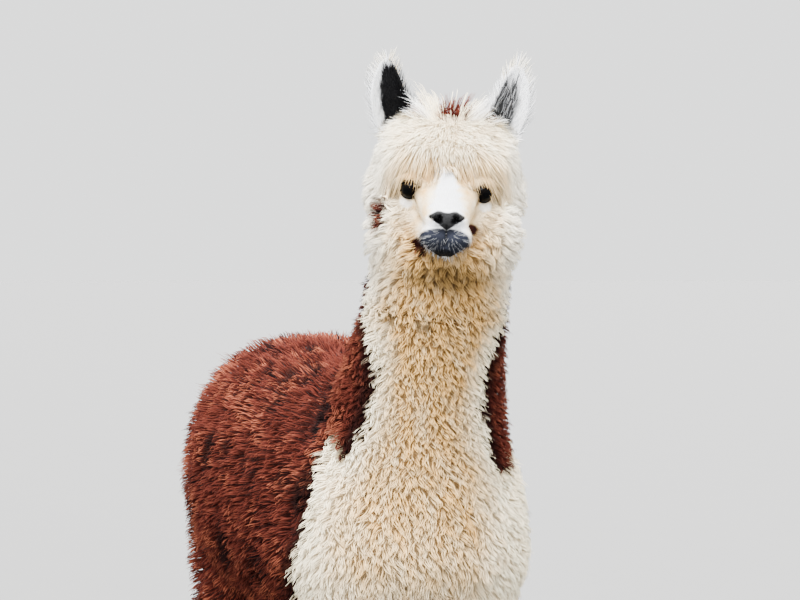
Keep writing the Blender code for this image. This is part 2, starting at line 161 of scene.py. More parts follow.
# How deep the coat is, how far apart its tufts stand and their half width; how far they run along
# the skin and stray, as shares of the depth and a length; how far apart its locks are and how
# closely their tufts gather; and the size of its crimp and how many waves there are on a tuft.
Coat = namedtuple("Coat", "depth spacing width lay loose clump pull curl waves")
COATS = {
    #            depth   spacing  width   lay   loose   clump  pull  curl    waves
    "face":  Coat(0.0024, 0.0020, 0.0005, 2.80, 0.0010, 0.008, 0.15, 0.0000, 0.5),
    "lip":   Coat(0.0020, 0.0014, 0.00023, 6.5, 0.0006, 0.006, 0.00, 0.0000, 0.5),
    "brow":  Coat(0.0060, 0.0020, 0.0006, 1.70, 0.0025, 0.008, 0.30, 0.0008, 0.5),
    "crown": Coat(0.0160, 0.0021, 0.0007, 1.15, 0.0045, 0.009, 0.25, 0.0013, 0.5),
    "cheek": Coat(0.0190, 0.0023, 0.0008, 0.70, 0.0045, 0.012, 0.58, 0.0030, 0.6),
    "neck":  Coat(0.0210, 0.0029, 0.0010, 0.55, 0.0040, 0.008, 0.60, 0.0030, 0.8),
    "chest": Coat(0.0200, 0.0032, 0.0012, 0.85, 0.0050, 0.010, 0.55, 0.0028, 0.8),
    "trunk": Coat(0.0290, 0.0050, 0.0013, 0.40, 0.0090, 0.014, 0.40, 0.0030, 0.6),
    "leg":   Coat(0.0150, 0.0056, 0.0020, 1.25, 0.0040, 0.014, 0.50, 0.0020, 0.6),
    "foot":  Coat(0.0020, 0.0045, 0.0012, 4.00, 0.0015, 0.012, 0.20, 0.0000, 0.5),
    "tail":  Coat(0.0230, 0.0046, 0.0018, 1.20, 0.0080, 0.018, 0.50, 0.0024, 0.6),
    "ear":   Coat(0.0032, 0.0024, 0.0005, 2.80, 0.0030, 0.008, 0.20, 0.0004, 0.5),
}
SOFTENING = 1.8        # how far a tuft is shaded as the coat round it is
SINK = 0.0015          # how far a tuft's foot is buried in the skin
FLOOR_GAP = 0.0006     # the tufts' middle lines stay this far above the floor
PATCH = 0.003          # a tuft's share of the unwrapped map
SIDES = 3              # sides of a tuft
PIECE_TRIANGLES = 190_000
FLAT_TUFT, FINE_TUFT, LONG_TUFT = 10, 16, 22   # triangles of a tuft of two, three or four rings


def ramp(value, low, high):
    """0 at low and 1 at high, eased in between; it falls where low is above high."""
    t = np.clip((value - low) / (high - low), 0, 1)
    return t * t * (3 - 2 * t)


def ripple(points, size, seed):
    """Smooth unevenness, mostly between -1 and 1, with bumps of about this size."""
    rng = np.random.default_rng(seed)
    ways = rng.normal(size=(8, 3))
    ways *= (rng.uniform(0.6, 1.5, 8) * 2 * math.pi / size / np.linalg.norm(ways, axis=1))[:, None]
    return np.sin(points @ ways.T + rng.uniform(0, 2 * math.pi, 8)).sum(axis=1) / 2.6


def read_rows(rows, value):
    """The second number of the rows, read at a value of their first."""
    known, wanted = np.array(rows).T
    return np.interp(value, known, wanted)


def unit(vectors):
    return vectors / np.maximum(np.linalg.norm(vectors, axis=-1, keepdims=True), 1e-9)


def head_places(points):
    """(side, forward, height) on the head of places in the world."""
    return (points - np.array(HEAD)) @ HEAD_AXES.T


def head_spot(place):
    """The world's place of a (side, forward, height) on the head."""
    return HEAD + Vector(np.array(place) @ HEAD_AXES)


def mirrored(places):
    """Places of both sides of the head laid on its left, and below the eyes."""
    return np.abs(places) * (1, 1, -1)


def ball_reach(places, centre, radii):
    """How far out of an ellipsoid places are: 1 on it."""
    return np.linalg.norm((places - np.array(centre)) / np.array(radii), axis=1)


def blot(places, centre, radii, soft=0.25):
    """1 inside an ellipsoid and 0 outside it, with a soft edge."""
    return ramp(ball_reach(places, centre, radii), 1 + soft, 1 - soft)


def darkest(places, marks):
    """How dark the darkest of these marks is at each place."""
    return np.maximum.reduce([
        dark * blot(places, centre, radii, soft) for centre, radii, soft, dark in marks
    ])


def ear_places(places):
    """Where a place is on its ear: across it, outer edge 1 and inner -1, and up it, 0 to 1."""
    up = (places[:, 2] - EAR_FOOT[2]) / EAR_LENGTH
    half = EAR_HALF_WIDTH * (np.sin(math.pi * (0.30 + 0.70 * np.clip(up, 0, 1))) ** 0.62 + 0.06)
    spine = EAR_FOOT[0] + 0.030 * up + 0.008 * np.sin(math.pi * np.clip(up, 0, 1))
    return (np.abs(places[:, 0]) - spine) / half, up


def face_reach(places):
    """How far out of the short-haired face a place on the head is: 1 on its edge."""
    side, ahead, height = np.abs(places[:, 0]), places[:, 1], places[:, 2]
    bridge = side / read_rows(FACE_EDGE, height)
    bridge = bridge + 0.14 * ripple(places, 0.016, 42) * ramp(height, -0.01, 0.01)
    bridge = np.maximum(bridge, 1 + (height - 0.034) / 0.014)
    bridge = np.maximum(bridge, 1 + (-0.119 - height) / 0.014)
    eye = np.hypot((side - EYE_SIDE) / 0.0185, height / np.where(height > 0, 0.0120, 0.0270))
    under_jaw = ramp(ahead, 0.062, 0.036) * ramp(height, -0.090, -0.108)
    return np.minimum(bridge, eye) + np.clip((0.005 - ahead) / 0.014, 0, 3) + under_jaw


def height_over(plane, points):
    """How high places stand over a sloping plane."""
    return points[:, 2] - plane[1] + plane[2] * (-points[:, 1] - plane[0])


def regions(points):
    """How much each place belongs to each part of the coat, adding up to 1."""
    side, ahead, height = points[:, 0], -points[:, 1], points[:, 2]
    places = head_places(points)
    head = ramp(height_over(JAW_PLANE, points), -0.02, 0.02)
    neck = ramp(height_over(WITHERS_PLANE, points), -0.03, 0.03) * (1 - head)
    body = 1 - head - neck

    reach = face_reach(places)
    face = ramp(reach, 1.14, 0.90)
    brow = ramp(reach, 1.50, 1.12) * (1 - face)
    lip = face * lips(places)
    outside_crown = ball_reach(places, *CROWN_BALL)
    across, up = ear_places(places)
    ear = ramp(outside_crown, 0.97, 1.08) * ramp(np.abs(across), 1.9, 1.5) * ramp(up, 0.02, 0.12)

    leg = body * ramp(height, 0.43, 0.34)
    foot = leg * ramp(height, 0.11, 0.07)
    tail = body * ramp(ahead, -0.480, -0.505) * ramp(np.abs(side), 0.085, 0.065)
    chest = (body - leg - tail) * ramp(ahead, 0.19, 0.29)
    crown = ramp(places[:, 2], -0.02, 0.03)
    wool = head * (1 - face - brow) * (1 - ear)
    return {
        "face": head * (face - lip) * (1 - ear),
        "lip": head * lip * (1 - ear),
        "brow": head * brow * (1 - ear),
        "crown": wool * crown,
        "cheek": wool * (1 - crown),
        "ear": head * ear,
        "neck": neck,
        "chest": chest,
        "trunk": body - leg - tail - chest,
        "leg": leg - foot,
        "foot": foot,
        "tail": tail,
    }


def from_eye(spots):
    """The way from the nearer eye to each spot on the head, and how far."""
    eye = np.stack([np.sign(spots[:, 0]) * EYE_SIDE, 0 * spots[:, 0], 0 * spots[:, 0]], axis=1)
    way = spots - eye
    return way, np.linalg.norm(way, axis=1)


def eye_clearance(points):
    """1 away from the eyes, falling to almost nothing at their lids."""
    return 0.07 + 0.93 * ramp(from_eye(head_places(points))[1], *EYE_CLEAR)


def fringe(spots):
    """1 where the wool hangs over the eyes."""
    way, away = from_eye(spots)
    return ramp(way[:, 2], 0.012, 0.020) * ramp(away, 0.060, 0.050) * ramp(away, 0.024, 0.032)


def coat_value(shares, what):
    """A size of the coat, blended between the parts that meet at each place."""
    return sum(share * getattr(COATS[name], what) for name, share in shares.items())


def spacing_of(points):
    """How far apart the tufts stand, closer in the fringe over the eyes."""
    return coat_value(regions(points), "spacing") * (1 - 0.36 * fringe(head_places(points)))


def coat_depth(points, shares):
    """How deep the coat is, least at the eyes."""
    return coat_value(shares, "depth") * eye_clearance(points)


def turn_from_front(points):
    """Degrees round the neck from the middle of its cream front."""
    ahead = -points[:, 1] - read_rows(NECK_LINE, points[:, 2])
    turn = np.degrees(np.arctan2(points[:, 0], ahead)) + MANTLE_TURN
    return np.abs((turn + 180) % 360 - 180)


def body_brown(points, turn, ragged):
    """The chestnut of the neck's sides and of the body, and the painted shade of its partings, its
    folds and the mantle's inner edge.
    """
    side, ahead, height = points[:, 0], -points[:, 1], points[:, 2]
    past_edge = turn - read_rows(MANTLE_EDGE, height)
    mantle = ramp(past_edge + 5 * ragged, -2, 2)
    mantle *= ramp(height, MANTLE_FOOT - 0.004, MANTLE_FOOT + 0.004)
    mantle *= ramp(ahead - 0.285 - 0.86 * (0.804 - height), -0.004, 0.004)
    mantle *= ramp(ahead, 0.20, 0.24)
    # Painted shade along the mantle's inner edge, where the cream locks overhang it.
    inner = ramp(past_edge + 6 * ragged, 17, 7) * mantle
    inside = read_rows(SADDLE_EDGE, height) - 0.02 * ramp(side, 0.0, 0.1) - ahead
    saddle = ramp(inside + 0.012 * ragged, -0.004, 0.004)
    # Painted shade in the groove just inside the saddle's edge at the breast.
    fold_shade = ramp(inside + 0.020 * ragged, 0.045, 0.015) * saddle * ramp(height, 0.79, 0.74)
    socks = ramp(height + 0.02 * ragged, 0.15, 0.17)
    brown = np.maximum(mantle, saddle * ramp(height_over(JAW_PLANE, points), 0.03, 0.0)) * socks
    # Painted shade in the body's partings.
    parting_shade = 0.90 * partings(points) * saddle * socks
    return brown, np.maximum.reduce([parting_shade, 0.80 * inner, 0.80 * fold_shade])


def ear_black(points, places):
    """How dark the fronts of the ears are: its right one black, its left one grey within."""
    across, up = ear_places(places)
    uneven = 0.07 * ripple(points * (1, 1, 0.4), 0.008, 5)
    right_ear = ramp(across + uneven, 0.72, 0.34) * ramp(up + 0.5 * uneven, 1.0, 0.90)
    left_ear = 0.96 * ramp(across + uneven, 0.55, 0.15) * ramp(across + uneven, -1.30, -0.85)
    left_ear *= ramp(up + uneven, 0.92, 0.70)
    front = ramp(places[:, 1], -0.085, -0.075)
    return np.where(places[:, 0] < 0, right_ear, left_ear) * front


def head_white(places, ear):
    """The white of the blaze, under the eyes, of the head's sides, the topknot and the ears."""
    side, ahead, height = np.abs(places[:, 0]), places[:, 1], places[:, 2]
    blaze = side / read_rows(BLAZE, height) + 0.10 * ripple(places, 0.015, 43)
    blaze = ramp(blaze, 1.35, 0.75) * ramp(ahead, 0.0, 0.02) * ramp(height, 0.04, 0.03)
    blaze *= ramp(height, -0.129, -0.118)
    under = blot(mirrored(places), (EYE_SIDE + 0.008, 0, -0.024), (0.012, 0.04, 0.010))
    under *= height < 0
    sides = ramp(side, 0.095, 0.130) * ramp(height, -0.25, -0.15)
    knot = blot(places, *TOPKNOT)
    return np.maximum.reduce([blaze, 0.7 * under, 0.35 * sides, knot, ear])


def front_tan(points, places, turn, ragged):
    """How tan the cream is: down the middle of the front and over the face, with painted shade
    under the jaw and round the eyes.
    """
    on_neck = ramp(turn / read_rows(MANTLE_EDGE, points[:, 2]), 1.0, 0.45)
    on_head = ramp(np.abs(places[:, 0]), 0.140, 0.060)
    middle = on_neck + (on_head - on_neck) * ramp(places[:, 2], -0.22, -0.16)
    tan = read_rows(TAN, places[:, 2]) * middle + 0.12 * ragged
    smooth = ramp(face_reach(places), 1.3, 0.9)
    tan = tan * (1 - smooth) + (0.50 + 0.14 * ripple(places, 0.020, 44)) * smooth
    # Painted shade round the eyes, under the wool of the brow.
    shade_round_eyes = ramp(from_eye(places)[1], 0.078, 0.048) * ramp(places[:, 2], -0.022, -0.008)
    return tan + 0.24 * shade_round_eyes


def markings(points):
    """The coat's colours at each place: chestnut, slate, tan, black and white, each 0 to 1; the
    black and the tan also carry painted shade.
    """
    places = head_places(points)
    ragged = 0.6 * ripple(points, 0.055, 3) + 0.4 * ripple(points, 0.018, 4)
    turn = turn_from_front(points)
    brown, shade = body_brown(points, turn, ragged)
    streaks = ramp(ripple(points * (1, 1, 0.5), 0.012, 9), -0.2, 0.3)
    cheek = np.maximum(blot(places, *CHEEK_PATCH), blot(places, *CHEEK_STREAKS) * streaks)
    corners = np.maximum.reduce([blot(places, *patch) for patch in MOUTH_PATCHES])
    chestnut = np.maximum.reduce([brown, cheek, corners])

    ear, nose = regions(points)["ear"], nose_pad(places)
    # Painted shade under the chin.
    chin_shade = 0.42 * ramp(places[:, 2], -0.113, -0.118) * ramp(places[:, 1], 0.03, 0.05)
    black = np.maximum.reduce([
        shade, ear_black(points, places) * ear, 0.985 * nose, chin_shade, 0.60 * corners, 0.62 * cheek,
        darkest(places, SHADE_AND_DARK_MARKS), darkest(mirrored(places), SHADE_AND_DARK_PAIRS),
    ])
    white = head_white(places, ear)
    tan = np.clip(front_tan(points, places, turn, ragged) * (1 - white), 0, 1)
    return np.stack([chestnut, lips(places) * (1 - nose), tan, black, white], axis=1)


def partings(points):
    """1 where the fleece of the body opens into partings, taller than wide; the dark there is
    painted shade.
    """
    broad, fine = ripple(points * (1, 1, 0.40), 0.085, 31), ripple(points * (1, 1, 0.6), 0.022, 32)
    return ramp(broad + 0.45 * fine, 0.72, 1.30)


def nose_pad(places):
    """1 on the dark bare nose: flat above, running out to the nostrils' tips, and a V below."""
    side, ahead, height = np.abs(places[:, 0]), places[:, 1], places[:, 2]
    top = -0.0385 - 0.55 * np.maximum(side - 0.017, 0) + 0.0025 * ramp(side, 0.002, 0.013)
    foot = -0.0710 + 0.68 * side
    pad = ramp(top - height, -0.001, 0.002) * ramp(height - foot, -0.001, 0.002)
    back = 0.084 + 0.5 * (height + 0.045)
    return pad * ramp(side, 0.0335, 0.030) * ramp(ahead - back, -0.003, 0.003)


def lips(places):
    """1 on the slate upper lip, which ends at the mouth."""
    side, ahead, height = np.abs(places[:, 0] + 0.003), places[:, 1], places[:, 2]
    reach = np.abs(side / 0.045) ** 2.6 + np.abs((height + 0.0910) / 0.0240) ** 2.6
    back = 0.060 + 0.45 * np.abs(height + 0.094) + 0.004 * ripple(places, 0.012, 41)
    return ramp(reach, 1.12, 0.88) * ramp(ahead - back, -0.004, 0.004)


# ---- Meshes ---------------------------------------------------------------------------------


def add_object(mesh, title):
    thing = bpy.data.objects.new(title, mesh)
    bpy.context.collection.objects.link(thing)
    return thing


def into_mesh(work, mesh):
    work.to_mesh(mesh)
    work.free()


def copy_nodes(names, title):
    """One new object that holds copies of these nodes, each closed."""
    work = bmesh.new()
    for name in names:
        work.from_mesh(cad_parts[name].data)
    bmesh.ops.remove_doubles(work, verts=work.verts, dist=1e-6)
    mesh = bpy.data.meshes.new(title)
    into_mesh(work, mesh)
    return add_object(mesh, title)


def settle(thing):
    """Makes the object's modifiers part of its mesh."""
    graph = bpy.context.evaluated_depsgraph_get()
    made = bpy.data.meshes.new_from_object(thing.evaluated_get(graph))
    old = thing.data
    thing.modifiers.clear()
    thing.data = made
    made.name = thing.name
    bpy.data.meshes.remove(old)


def modify(thing, kind, **settings):
    """Adds a modifier with these settings and makes it part of the mesh."""
    modifier = thing.modifiers.new(kind.title(), kind)
    for key, value in settings.items():
        setattr(modifier, key, value)
    settle(thing)


def smooth(thing, rounds, group=""):
    modify(thing, "SMOOTH", factor=0.5, iterations=rounds, vertex_group=group)


def cut_off(thing, point, normal):
    """Takes away what lies on the normal's side of a plane, and closes the cut."""
    work = bmesh.new()
    work.from_mesh(thing.data)
    whole = work.verts[:] + work.edges[:] + work.faces[:]
    bmesh.ops.bisect_plane(work, geom=whole, plane_co=point, plane_no=normal, clear_outer=True)
    rim = [edge for edge in work.edges if edge.is_boundary]
    bmesh.ops.holes_fill(work, edges=rim, sides=0)
    bmesh.ops.triangulate(work, faces=[face for face in work.faces if len(face.verts) > 4])
    bmesh.ops.recalc_face_normals(work, faces=work.faces)
    into_mesh(work, thing.data)


def join_with(thing, other):
    """Makes one closed shape of two, and removes the second."""
    modify(thing, "BOOLEAN", operation="UNION", solver="MANIFOLD", object=other)
    bpy.data.objects.remove(other)


def read_all(items, what, kind=np.float32, width=3):
    """This number or vector of each item, one row for each."""
    values = np.empty(len(items) * width, kind)
    items.foreach_get(what, values)
    return values.reshape(-1, width)


def corners_of(mesh):
    return read_all(mesh.vertices, "co").astype(float)


def normals_of(mesh):
    return read_all(mesh.vertex_normals, "vector").astype(float)


def write_corners(mesh, places):
    mesh.vertices.foreach_set("co", places.astype(np.float32).ravel())


def move_corners(mesh, places):
    write_corners(mesh, places)
    mesh.update()


def move_on_head(mesh, spots):
    """Moves the corners to these (side, forward, height) places on the head."""
    move_corners(mesh, spots @ HEAD_AXES + np.array(HEAD))


def shade_smooth(mesh):
    mesh.polygons.foreach_set("use_smooth", np.ones(len(mesh.polygons), bool))


def triangles_of(mesh):
    """Each triangle's corners and loops."""
    mesh.calc_loop_triangles()
    triangles = mesh.loop_triangles
    return read_all(triangles, "vertices", np.int32), read_all(triangles, "loops", np.int32)


def mesh_from(places, triangles, title, patches=None):
    """A mesh of triangles, smooth, with a place on the map for each loop."""
    mesh = bpy.data.meshes.new(title)
    mesh.vertices.add(len(places))
    write_corners(mesh, places)
    mesh.loops.add(triangles.size)
    mesh.loops.foreach_set("vertex_index", triangles.astype(np.int32).ravel())
    mesh.polygons.add(len(triangles))
    mesh.polygons.foreach_set("loop_start", np.arange(0, triangles.size, 3, dtype=np.int32))
    shade_smooth(mesh)
    if patches is not None:
        layer = mesh.uv_layers.new(name=MAP)
        layer.uv.foreach_set("vector", patches.astype(np.float32).ravel())
    mesh.update(calc_edges=True)
    return mesh


def soften(mesh, facing):
    """Shades the mesh as if each of its corners faced this way."""
    layer = mesh.attributes.new("custom_normal", "FLOAT_VECTOR", "POINT")
    layer.data.foreach_set("vector", facing.astype(np.float32).ravel())


def paint(mesh, name, values):
    """Keeps four numbers for each corner of the mesh under this name."""
    layer = mesh.attributes.new(name, "FLOAT_COLOR", "POINT")
    layer.data.foreach_set("color", values.astype(np.float32).ravel())


def unwrap(thing):
    """Lays the skin's own shape out flat."""
    bpy.ops.object.select_all(action="DESELECT")
    thing.select_set(True)
    bpy.context.view_layer.objects.active = thing
    while thing.data.uv_layers:
        thing.data.uv_layers.remove(thing.data.uv_layers[0])
    thing.data.uv_layers.new(name=MAP)
    bpy.ops.object.mode_set(mode="EDIT")
    bpy.ops.mesh.select_all(action="SELECT")
    bpy.ops.uv.smart_project(angle_limit=1.15, island_margin=0.004, scale_to_bounds=True)
    bpy.ops.object.mode_set(mode="OBJECT")


# ---- The skin --------------------------------------------------------------------------------
BODY_VOXEL = 0.0065
HEAD_VOXEL = 0.0019
BODY_KEPT = 0.34         # the share of their triangles that stay
HEAD_KEPT = 0.42
SEAM_DROP = 0.045        # how far below the jaw's plane the head's skin meets the body's
SEAM_TUCK = 0.0012       # how much deeper each skin lies past the seam, under the other
EYE_LOOK = Vector((0.47, 0.87, -0.17))   # outwards, forward and up
EYE_TILT = math.radians(7)
IRIS_EDGE = (0.80, 0.74)                 # radians from its middle
PUPIL_HALVES = (0.42, 0.26)              # of the eye's radius
CORNEA = 0.02                            # how far it stands out, as a share of the radius
LID_STEPS = 48
LID_OPENING = (66, 47, 54)   # degrees from the eye's middle to its corners, upper and lower lid
LID_PROFILE = (          # degrees out from the lid's rim, height over the eyeball
    (1.0, 0.0003), (-0.6, 0.0008), (1.0, 0.0016), (6.0, 0.0022), (14.0, 0.0022), (24.0, 0.0010),
    (26.0, -0.0030), (14.0, 0.0002),
)
EYE_CLEAR = (0.0215, 0.0370)   # from the eye's middle: where the wool starts, and is full


def jaw_plane(drop):
    """A point and the upward normal of the plane this far below the jaw's."""
    ahead, height, slope = JAW_PLANE
    return Vector((0, -ahead, height - drop)), Vector((0, -slope, 1)).normalized()


def shrink(thing, tuck):
    """Draws the surface in by the depth of its coat; tuck adds to it, as a function of places."""
    mesh = thing.data
    places = corners_of(mesh)
    depth = coat_depth(places, regions(places)) + tuck(places)
    move_corners(mesh, places - normals_of(mesh) * depth[:, None])


def over_seam(places):
    """How high places stand over the seam between the head's skin and the body's."""
    return height_over(JAW_PLANE, places) + SEAM_DROP


def body_skin():
    """The skin of the neck, trunk, legs and tail."""
    names = [name for name in FLESH if not name.startswith("ear")]
    body = copy_nodes(names, SKIN)
    modify(body, "REMESH", mode="VOXEL", voxel_size=BODY_VOXEL)
    smooth(body, 4)
    shrink(body, lambda places: SEAM_TUCK * ramp(over_seam(places), -0.004, 0.016))
    smooth(body, 2)
    point, normal = jaw_plane(SEAM_DROP - 0.014)
    cut_off(body, point, normal)
    modify(body, "DECIMATE", ratio=BODY_KEPT)
    return body


def head_skin():
    """The skin of the head and ears, finer."""
    head = copy_nodes(["head", "neck", "ear_left", "ear_right"], "head_skin")
    point, normal = jaw_plane(SEAM_DROP + 0.030)
    cut_off(head, point, -normal)
    modify(head, "REMESH", mode="VOXEL", voxel_size=HEAD_VOXEL)
    smooth(head, 3)
    shrink(head, lambda places: SEAM_TUCK * ramp(over_seam(places), 0.004, -0.016))
    smooth(head, 2)
    places = corners_of(head.data)
    spots = head_places(places)
    bridge = (face_reach(spots) < 1.6) & (spots[:, 2] > -0.034) & (eye_clearance(places) > 0.12)
    head.vertex_groups.new(name="bridge").add(np.flatnonzero(bridge).tolist(), 1, "REPLACE")
    smooth(head, 30, "bridge")
    places = corners_of(head.data)
    shares = regions(places)
    covered = np.clip(1 - shares["face"] - shares["lip"] - 0.6 * shares["ear"], 0, 1)
    group = head.vertex_groups.new(name="covered")
    for level in range(1, 11):
        chosen = np.flatnonzero(np.ceil(covered * 10) == level)
        group.add(chosen.tolist(), level / 10, "REPLACE")
    modify(head, "DECIMATE", ratio=HEAD_KEPT, vertex_group="covered", vertex_group_factor=1.0)
    return head


def eye_axes(sign):
    """Outward, up and ahead for one eye, on the head."""
    look = (EYE_LOOK * Vector((sign, 1, 1))).normalized()
    up = (Vector((0, 0, 1)) - look * look.z).normalized()
    out = look.cross(up) * sign
    tilt = math.cos(EYE_TILT), math.sin(EYE_TILT)
    return tilt[0] * out + tilt[1] * up, tilt[0] * up - tilt[1] * out, look


def lid_opening(turn):
    """How far from its middle an eye is open, in radians, at a turn from its outer corner."""
    corner, upper, lower = np.radians(LID_OPENING)
    half = np.where(np.sin(turn) > 0, upper, lower)
    return 1 / np.hypot(np.cos(turn) / corner, np.abs(np.sin(turn)) ** 1.15 / half)


def in_opening(way, away, sign, margin):
    """Whether spots this way from an eye's middle stand before its opening."""
    local = way @ np.array(eye_axes(sign)).T
    turn = np.arctan2(local[:, 1], local[:, 0])
    angle = np.arccos(np.clip(local[:, 2] / np.maximum(away, 1e-6), -1, 1))
    return (angle < lid_opening(turn) + margin) & (away < EYE_RADIUS + 0.03)


def widen_ears(head):
    """Draws the inner edges of the ears towards the middle of the head at their feet."""
    mesh = head.data
    spots = head_places(corners_of(mesh))
    across, up = ear_places(spots)
    inner = ramp(across, 0.3, -1.0) * ramp(across, -2.2, -1.6) * (spots[:, 1] < -0.03)
    draw = EAR_WIDENING * inner * ramp(up, 0.95, 0.15) * ramp(up, -0.20, 0.10)
    spots[:, 0] -= np.sign(spots[:, 0]) * draw
    move_on_head(mesh, spots)


def open_sockets(head):
    """Draws back the flesh that stands in front of the eyes' openings."""
    mesh = head.data
    spots = head_places(corners_of(mesh))
    way, away = from_eye(spots)
    for sign in HANDS.values():
        inside = (spots[:, 0] * sign > 0) & in_opening(way, away, sign, 0.10)
        drawn = np.where(inside, np.minimum(away, EYE_RADIUS - 0.0015), away) / away
        spots = spots - way * (1 - drawn)[:, None]
    move_on_head(mesh, spots)


def lid(hand, sign):
    """The lids of one eye: a closed ring over the eyeball, open as an almond."""
    out, up, look = eye_axes(sign)
    eye = Vector(head_places(np.array([EYES[hand]]))[0])
    rings = []
    for step in range(LID_STEPS):
        turn = 2 * math.pi * step / LID_STEPS
        opening = float(lid_opening(turn))
        for spread, height in LID_PROFILE:
            away = opening + math.radians(spread)
            way = math.cos(turn) * out + math.sin(turn) * up
            reach = EYE_RADIUS + height
            rings.append(eye + reach * (math.cos(away) * look + math.sin(away) * way))
    ring = len(LID_PROFILE)
    triangles = []
    for step in range(LID_STEPS):
        following = (step + 1) % LID_STEPS
        for k in range(ring):
            a, b = step * ring + k, step * ring + (k + 1) % ring
            c, d = following * ring + (k + 1) % ring, following * ring + k
            triangles += [(a, b, c), (a, c, d)]
    places = np.array([head_spot(place) for place in rings])
    mesh = mesh_from(places, np.array(triangles), f"lid_{hand}")
    work = bmesh.new()
    work.from_mesh(mesh)
    bmesh.ops.recalc_face_normals(work, faces=work.faces)
    into_mesh(work, mesh)
    return add_object(mesh, f"lid_{hand}")


def shape_muzzle(head):
    """Presses in the nostrils and the groove of the upper lip."""
    mesh = head.data
    places = corners_of(mesh)
    spots = head_places(places)
    press = 0.0055 * nostrils(spots) + 0.0016 * lip_groove(spots) + 0.0012 * mouth_line(spots)
    move_corners(mesh, places - normals_of(mesh) * press[:, None])


def nostrils(spots):
    """1 in the nostrils: a comma on each side, its tail running out and up."""
    bowl = blot(mirrored(spots), (0.0155, 0.122, -0.0505), (0.0064, 0.03, 0.0088), 0.3)
    tail = blot(mirrored(spots), (0.0240, 0.115, -0.0490), (0.0095, 0.03, 0.0030), 0.3)
    return np.maximum(bowl, tail)


def lip_groove(spots):
    """1 in the groove from the nose down to the mouth."""
    ahead = ramp(spots[:, 1], 0.09, 0.10)
    return ahead * ramp(np.abs(spots[:, 0]), 0.0026, 0.0004) * blot(
        spots, (0, 0.12, -0.080), (0.02, 0.04, 0.019), 0.2
    )


def mouth_line(spots):
    """1 along the mouth, which turns up to each side."""
    line = -0.1130 + 12 * spots[:, 0] ** 2
    thick = 0.0065 - 0.2 * np.minimum(np.abs(spots[:, 0]), 0.024)
    near = ramp(np.abs(spots[:, 2] - line), thick, 0.4 * thick)
    dark = 0.5 + 0.5 * ramp(np.abs(spots[:, 0]), 0.030, 0.012)
    return near * dark * ramp(np.abs(spots[:, 0]), 0.052, 0.044) * ramp(spots[:, 1], 0.035, 0.045)


def eye_rims(places):
    """1 on the lids' dark rims."""
    rims = np.zeros(len(places))
    wide = 0.0010 * ramp(head_places(places)[:, 2], 0.000, 0.008)
    for middle in EYES.values():
        away = np.linalg.norm(places - np.array(middle), axis=1) - wide
        rims = np.maximum(rims, ramp(away, EYE_RADIUS + 0.0024, EYE_RADIUS + 0.0016))
    return rims


def dark_places(places):
    """How dark the bare hide is at each place: nostrils, the groove under the nose, mouth and lids'
    rims; in the nostrils, groove and mouth it is dark hide with painted shade of their hollows.
    """
    spots = head_places(places)
    return np.maximum.reduce([
        nostrils(spots), 0.9 * lip_groove(spots), mouth_line(spots), eye_rims(places),
    ])


# ---- The coat --------------------------------------------------------------------------------
Roots = namedtuple("Roots", "place normal patch lay share coat leader luck red")
CANDIDATES = 4.2       # places tried for each root that is wanted
THIN = 0.72            # roots that fit in a square of their spacing
TAPER = ((0, 0.75), (0.3, 1.0), (0.75, 0.62), (1, 0.2))   # along a tuft, its width
THICKNESS = 0.7        # of a tuft, as a share of its width
FRINGE_DEPTH = 0.0110  # the least depth of the wool over the eyes
IN_KNOT = 0.25         # the share of the topknot from which a root counts as its own
RING_TIMES = {          # where a tuft's rings stand along it
    FLAT_TUFT: (0.0, 0.45), FINE_TUFT: (0.0, 0.33, 0.70), LONG_TUFT: (0.0, 0.25, 0.52, 0.78),
}
LIP_SPOKES = 27        # lines of pale hairs that run out from the nose, all the way round
LIP, EAR, CROWN = (list(COATS).index(name) for name in ("lip", "ear", "crown"))
planted = {}


def thin_out(places, spacing):
    """Picks places in turn, leaving out any that are nearer than its spacing to one before."""
    tree = KDTree(len(places))
    for index, place in enumerate(places.tolist()):
        tree.insert(place, index)
    tree.balance()
    free = bytearray([1]) * len(places)
    kept = []
    for index, (place, reach) in enumerate(zip(places.tolist(), spacing.tolist())):
        if free[index]:
            kept.append(index)
            for _, other, _ in tree.find_range(place, reach):
                free[other] = 0
    return np.array(kept)


def leaders_of(places, spacing):
    """For each place the nearest of a few that stand this far apart."""
    kept = thin_out(places, spacing)
    tree = KDTree(len(kept))
    for index in kept.tolist():
        tree.insert(places[index], index)
    tree.balance()
    return np.array([tree.find(place)[1] for place in places.tolist()])


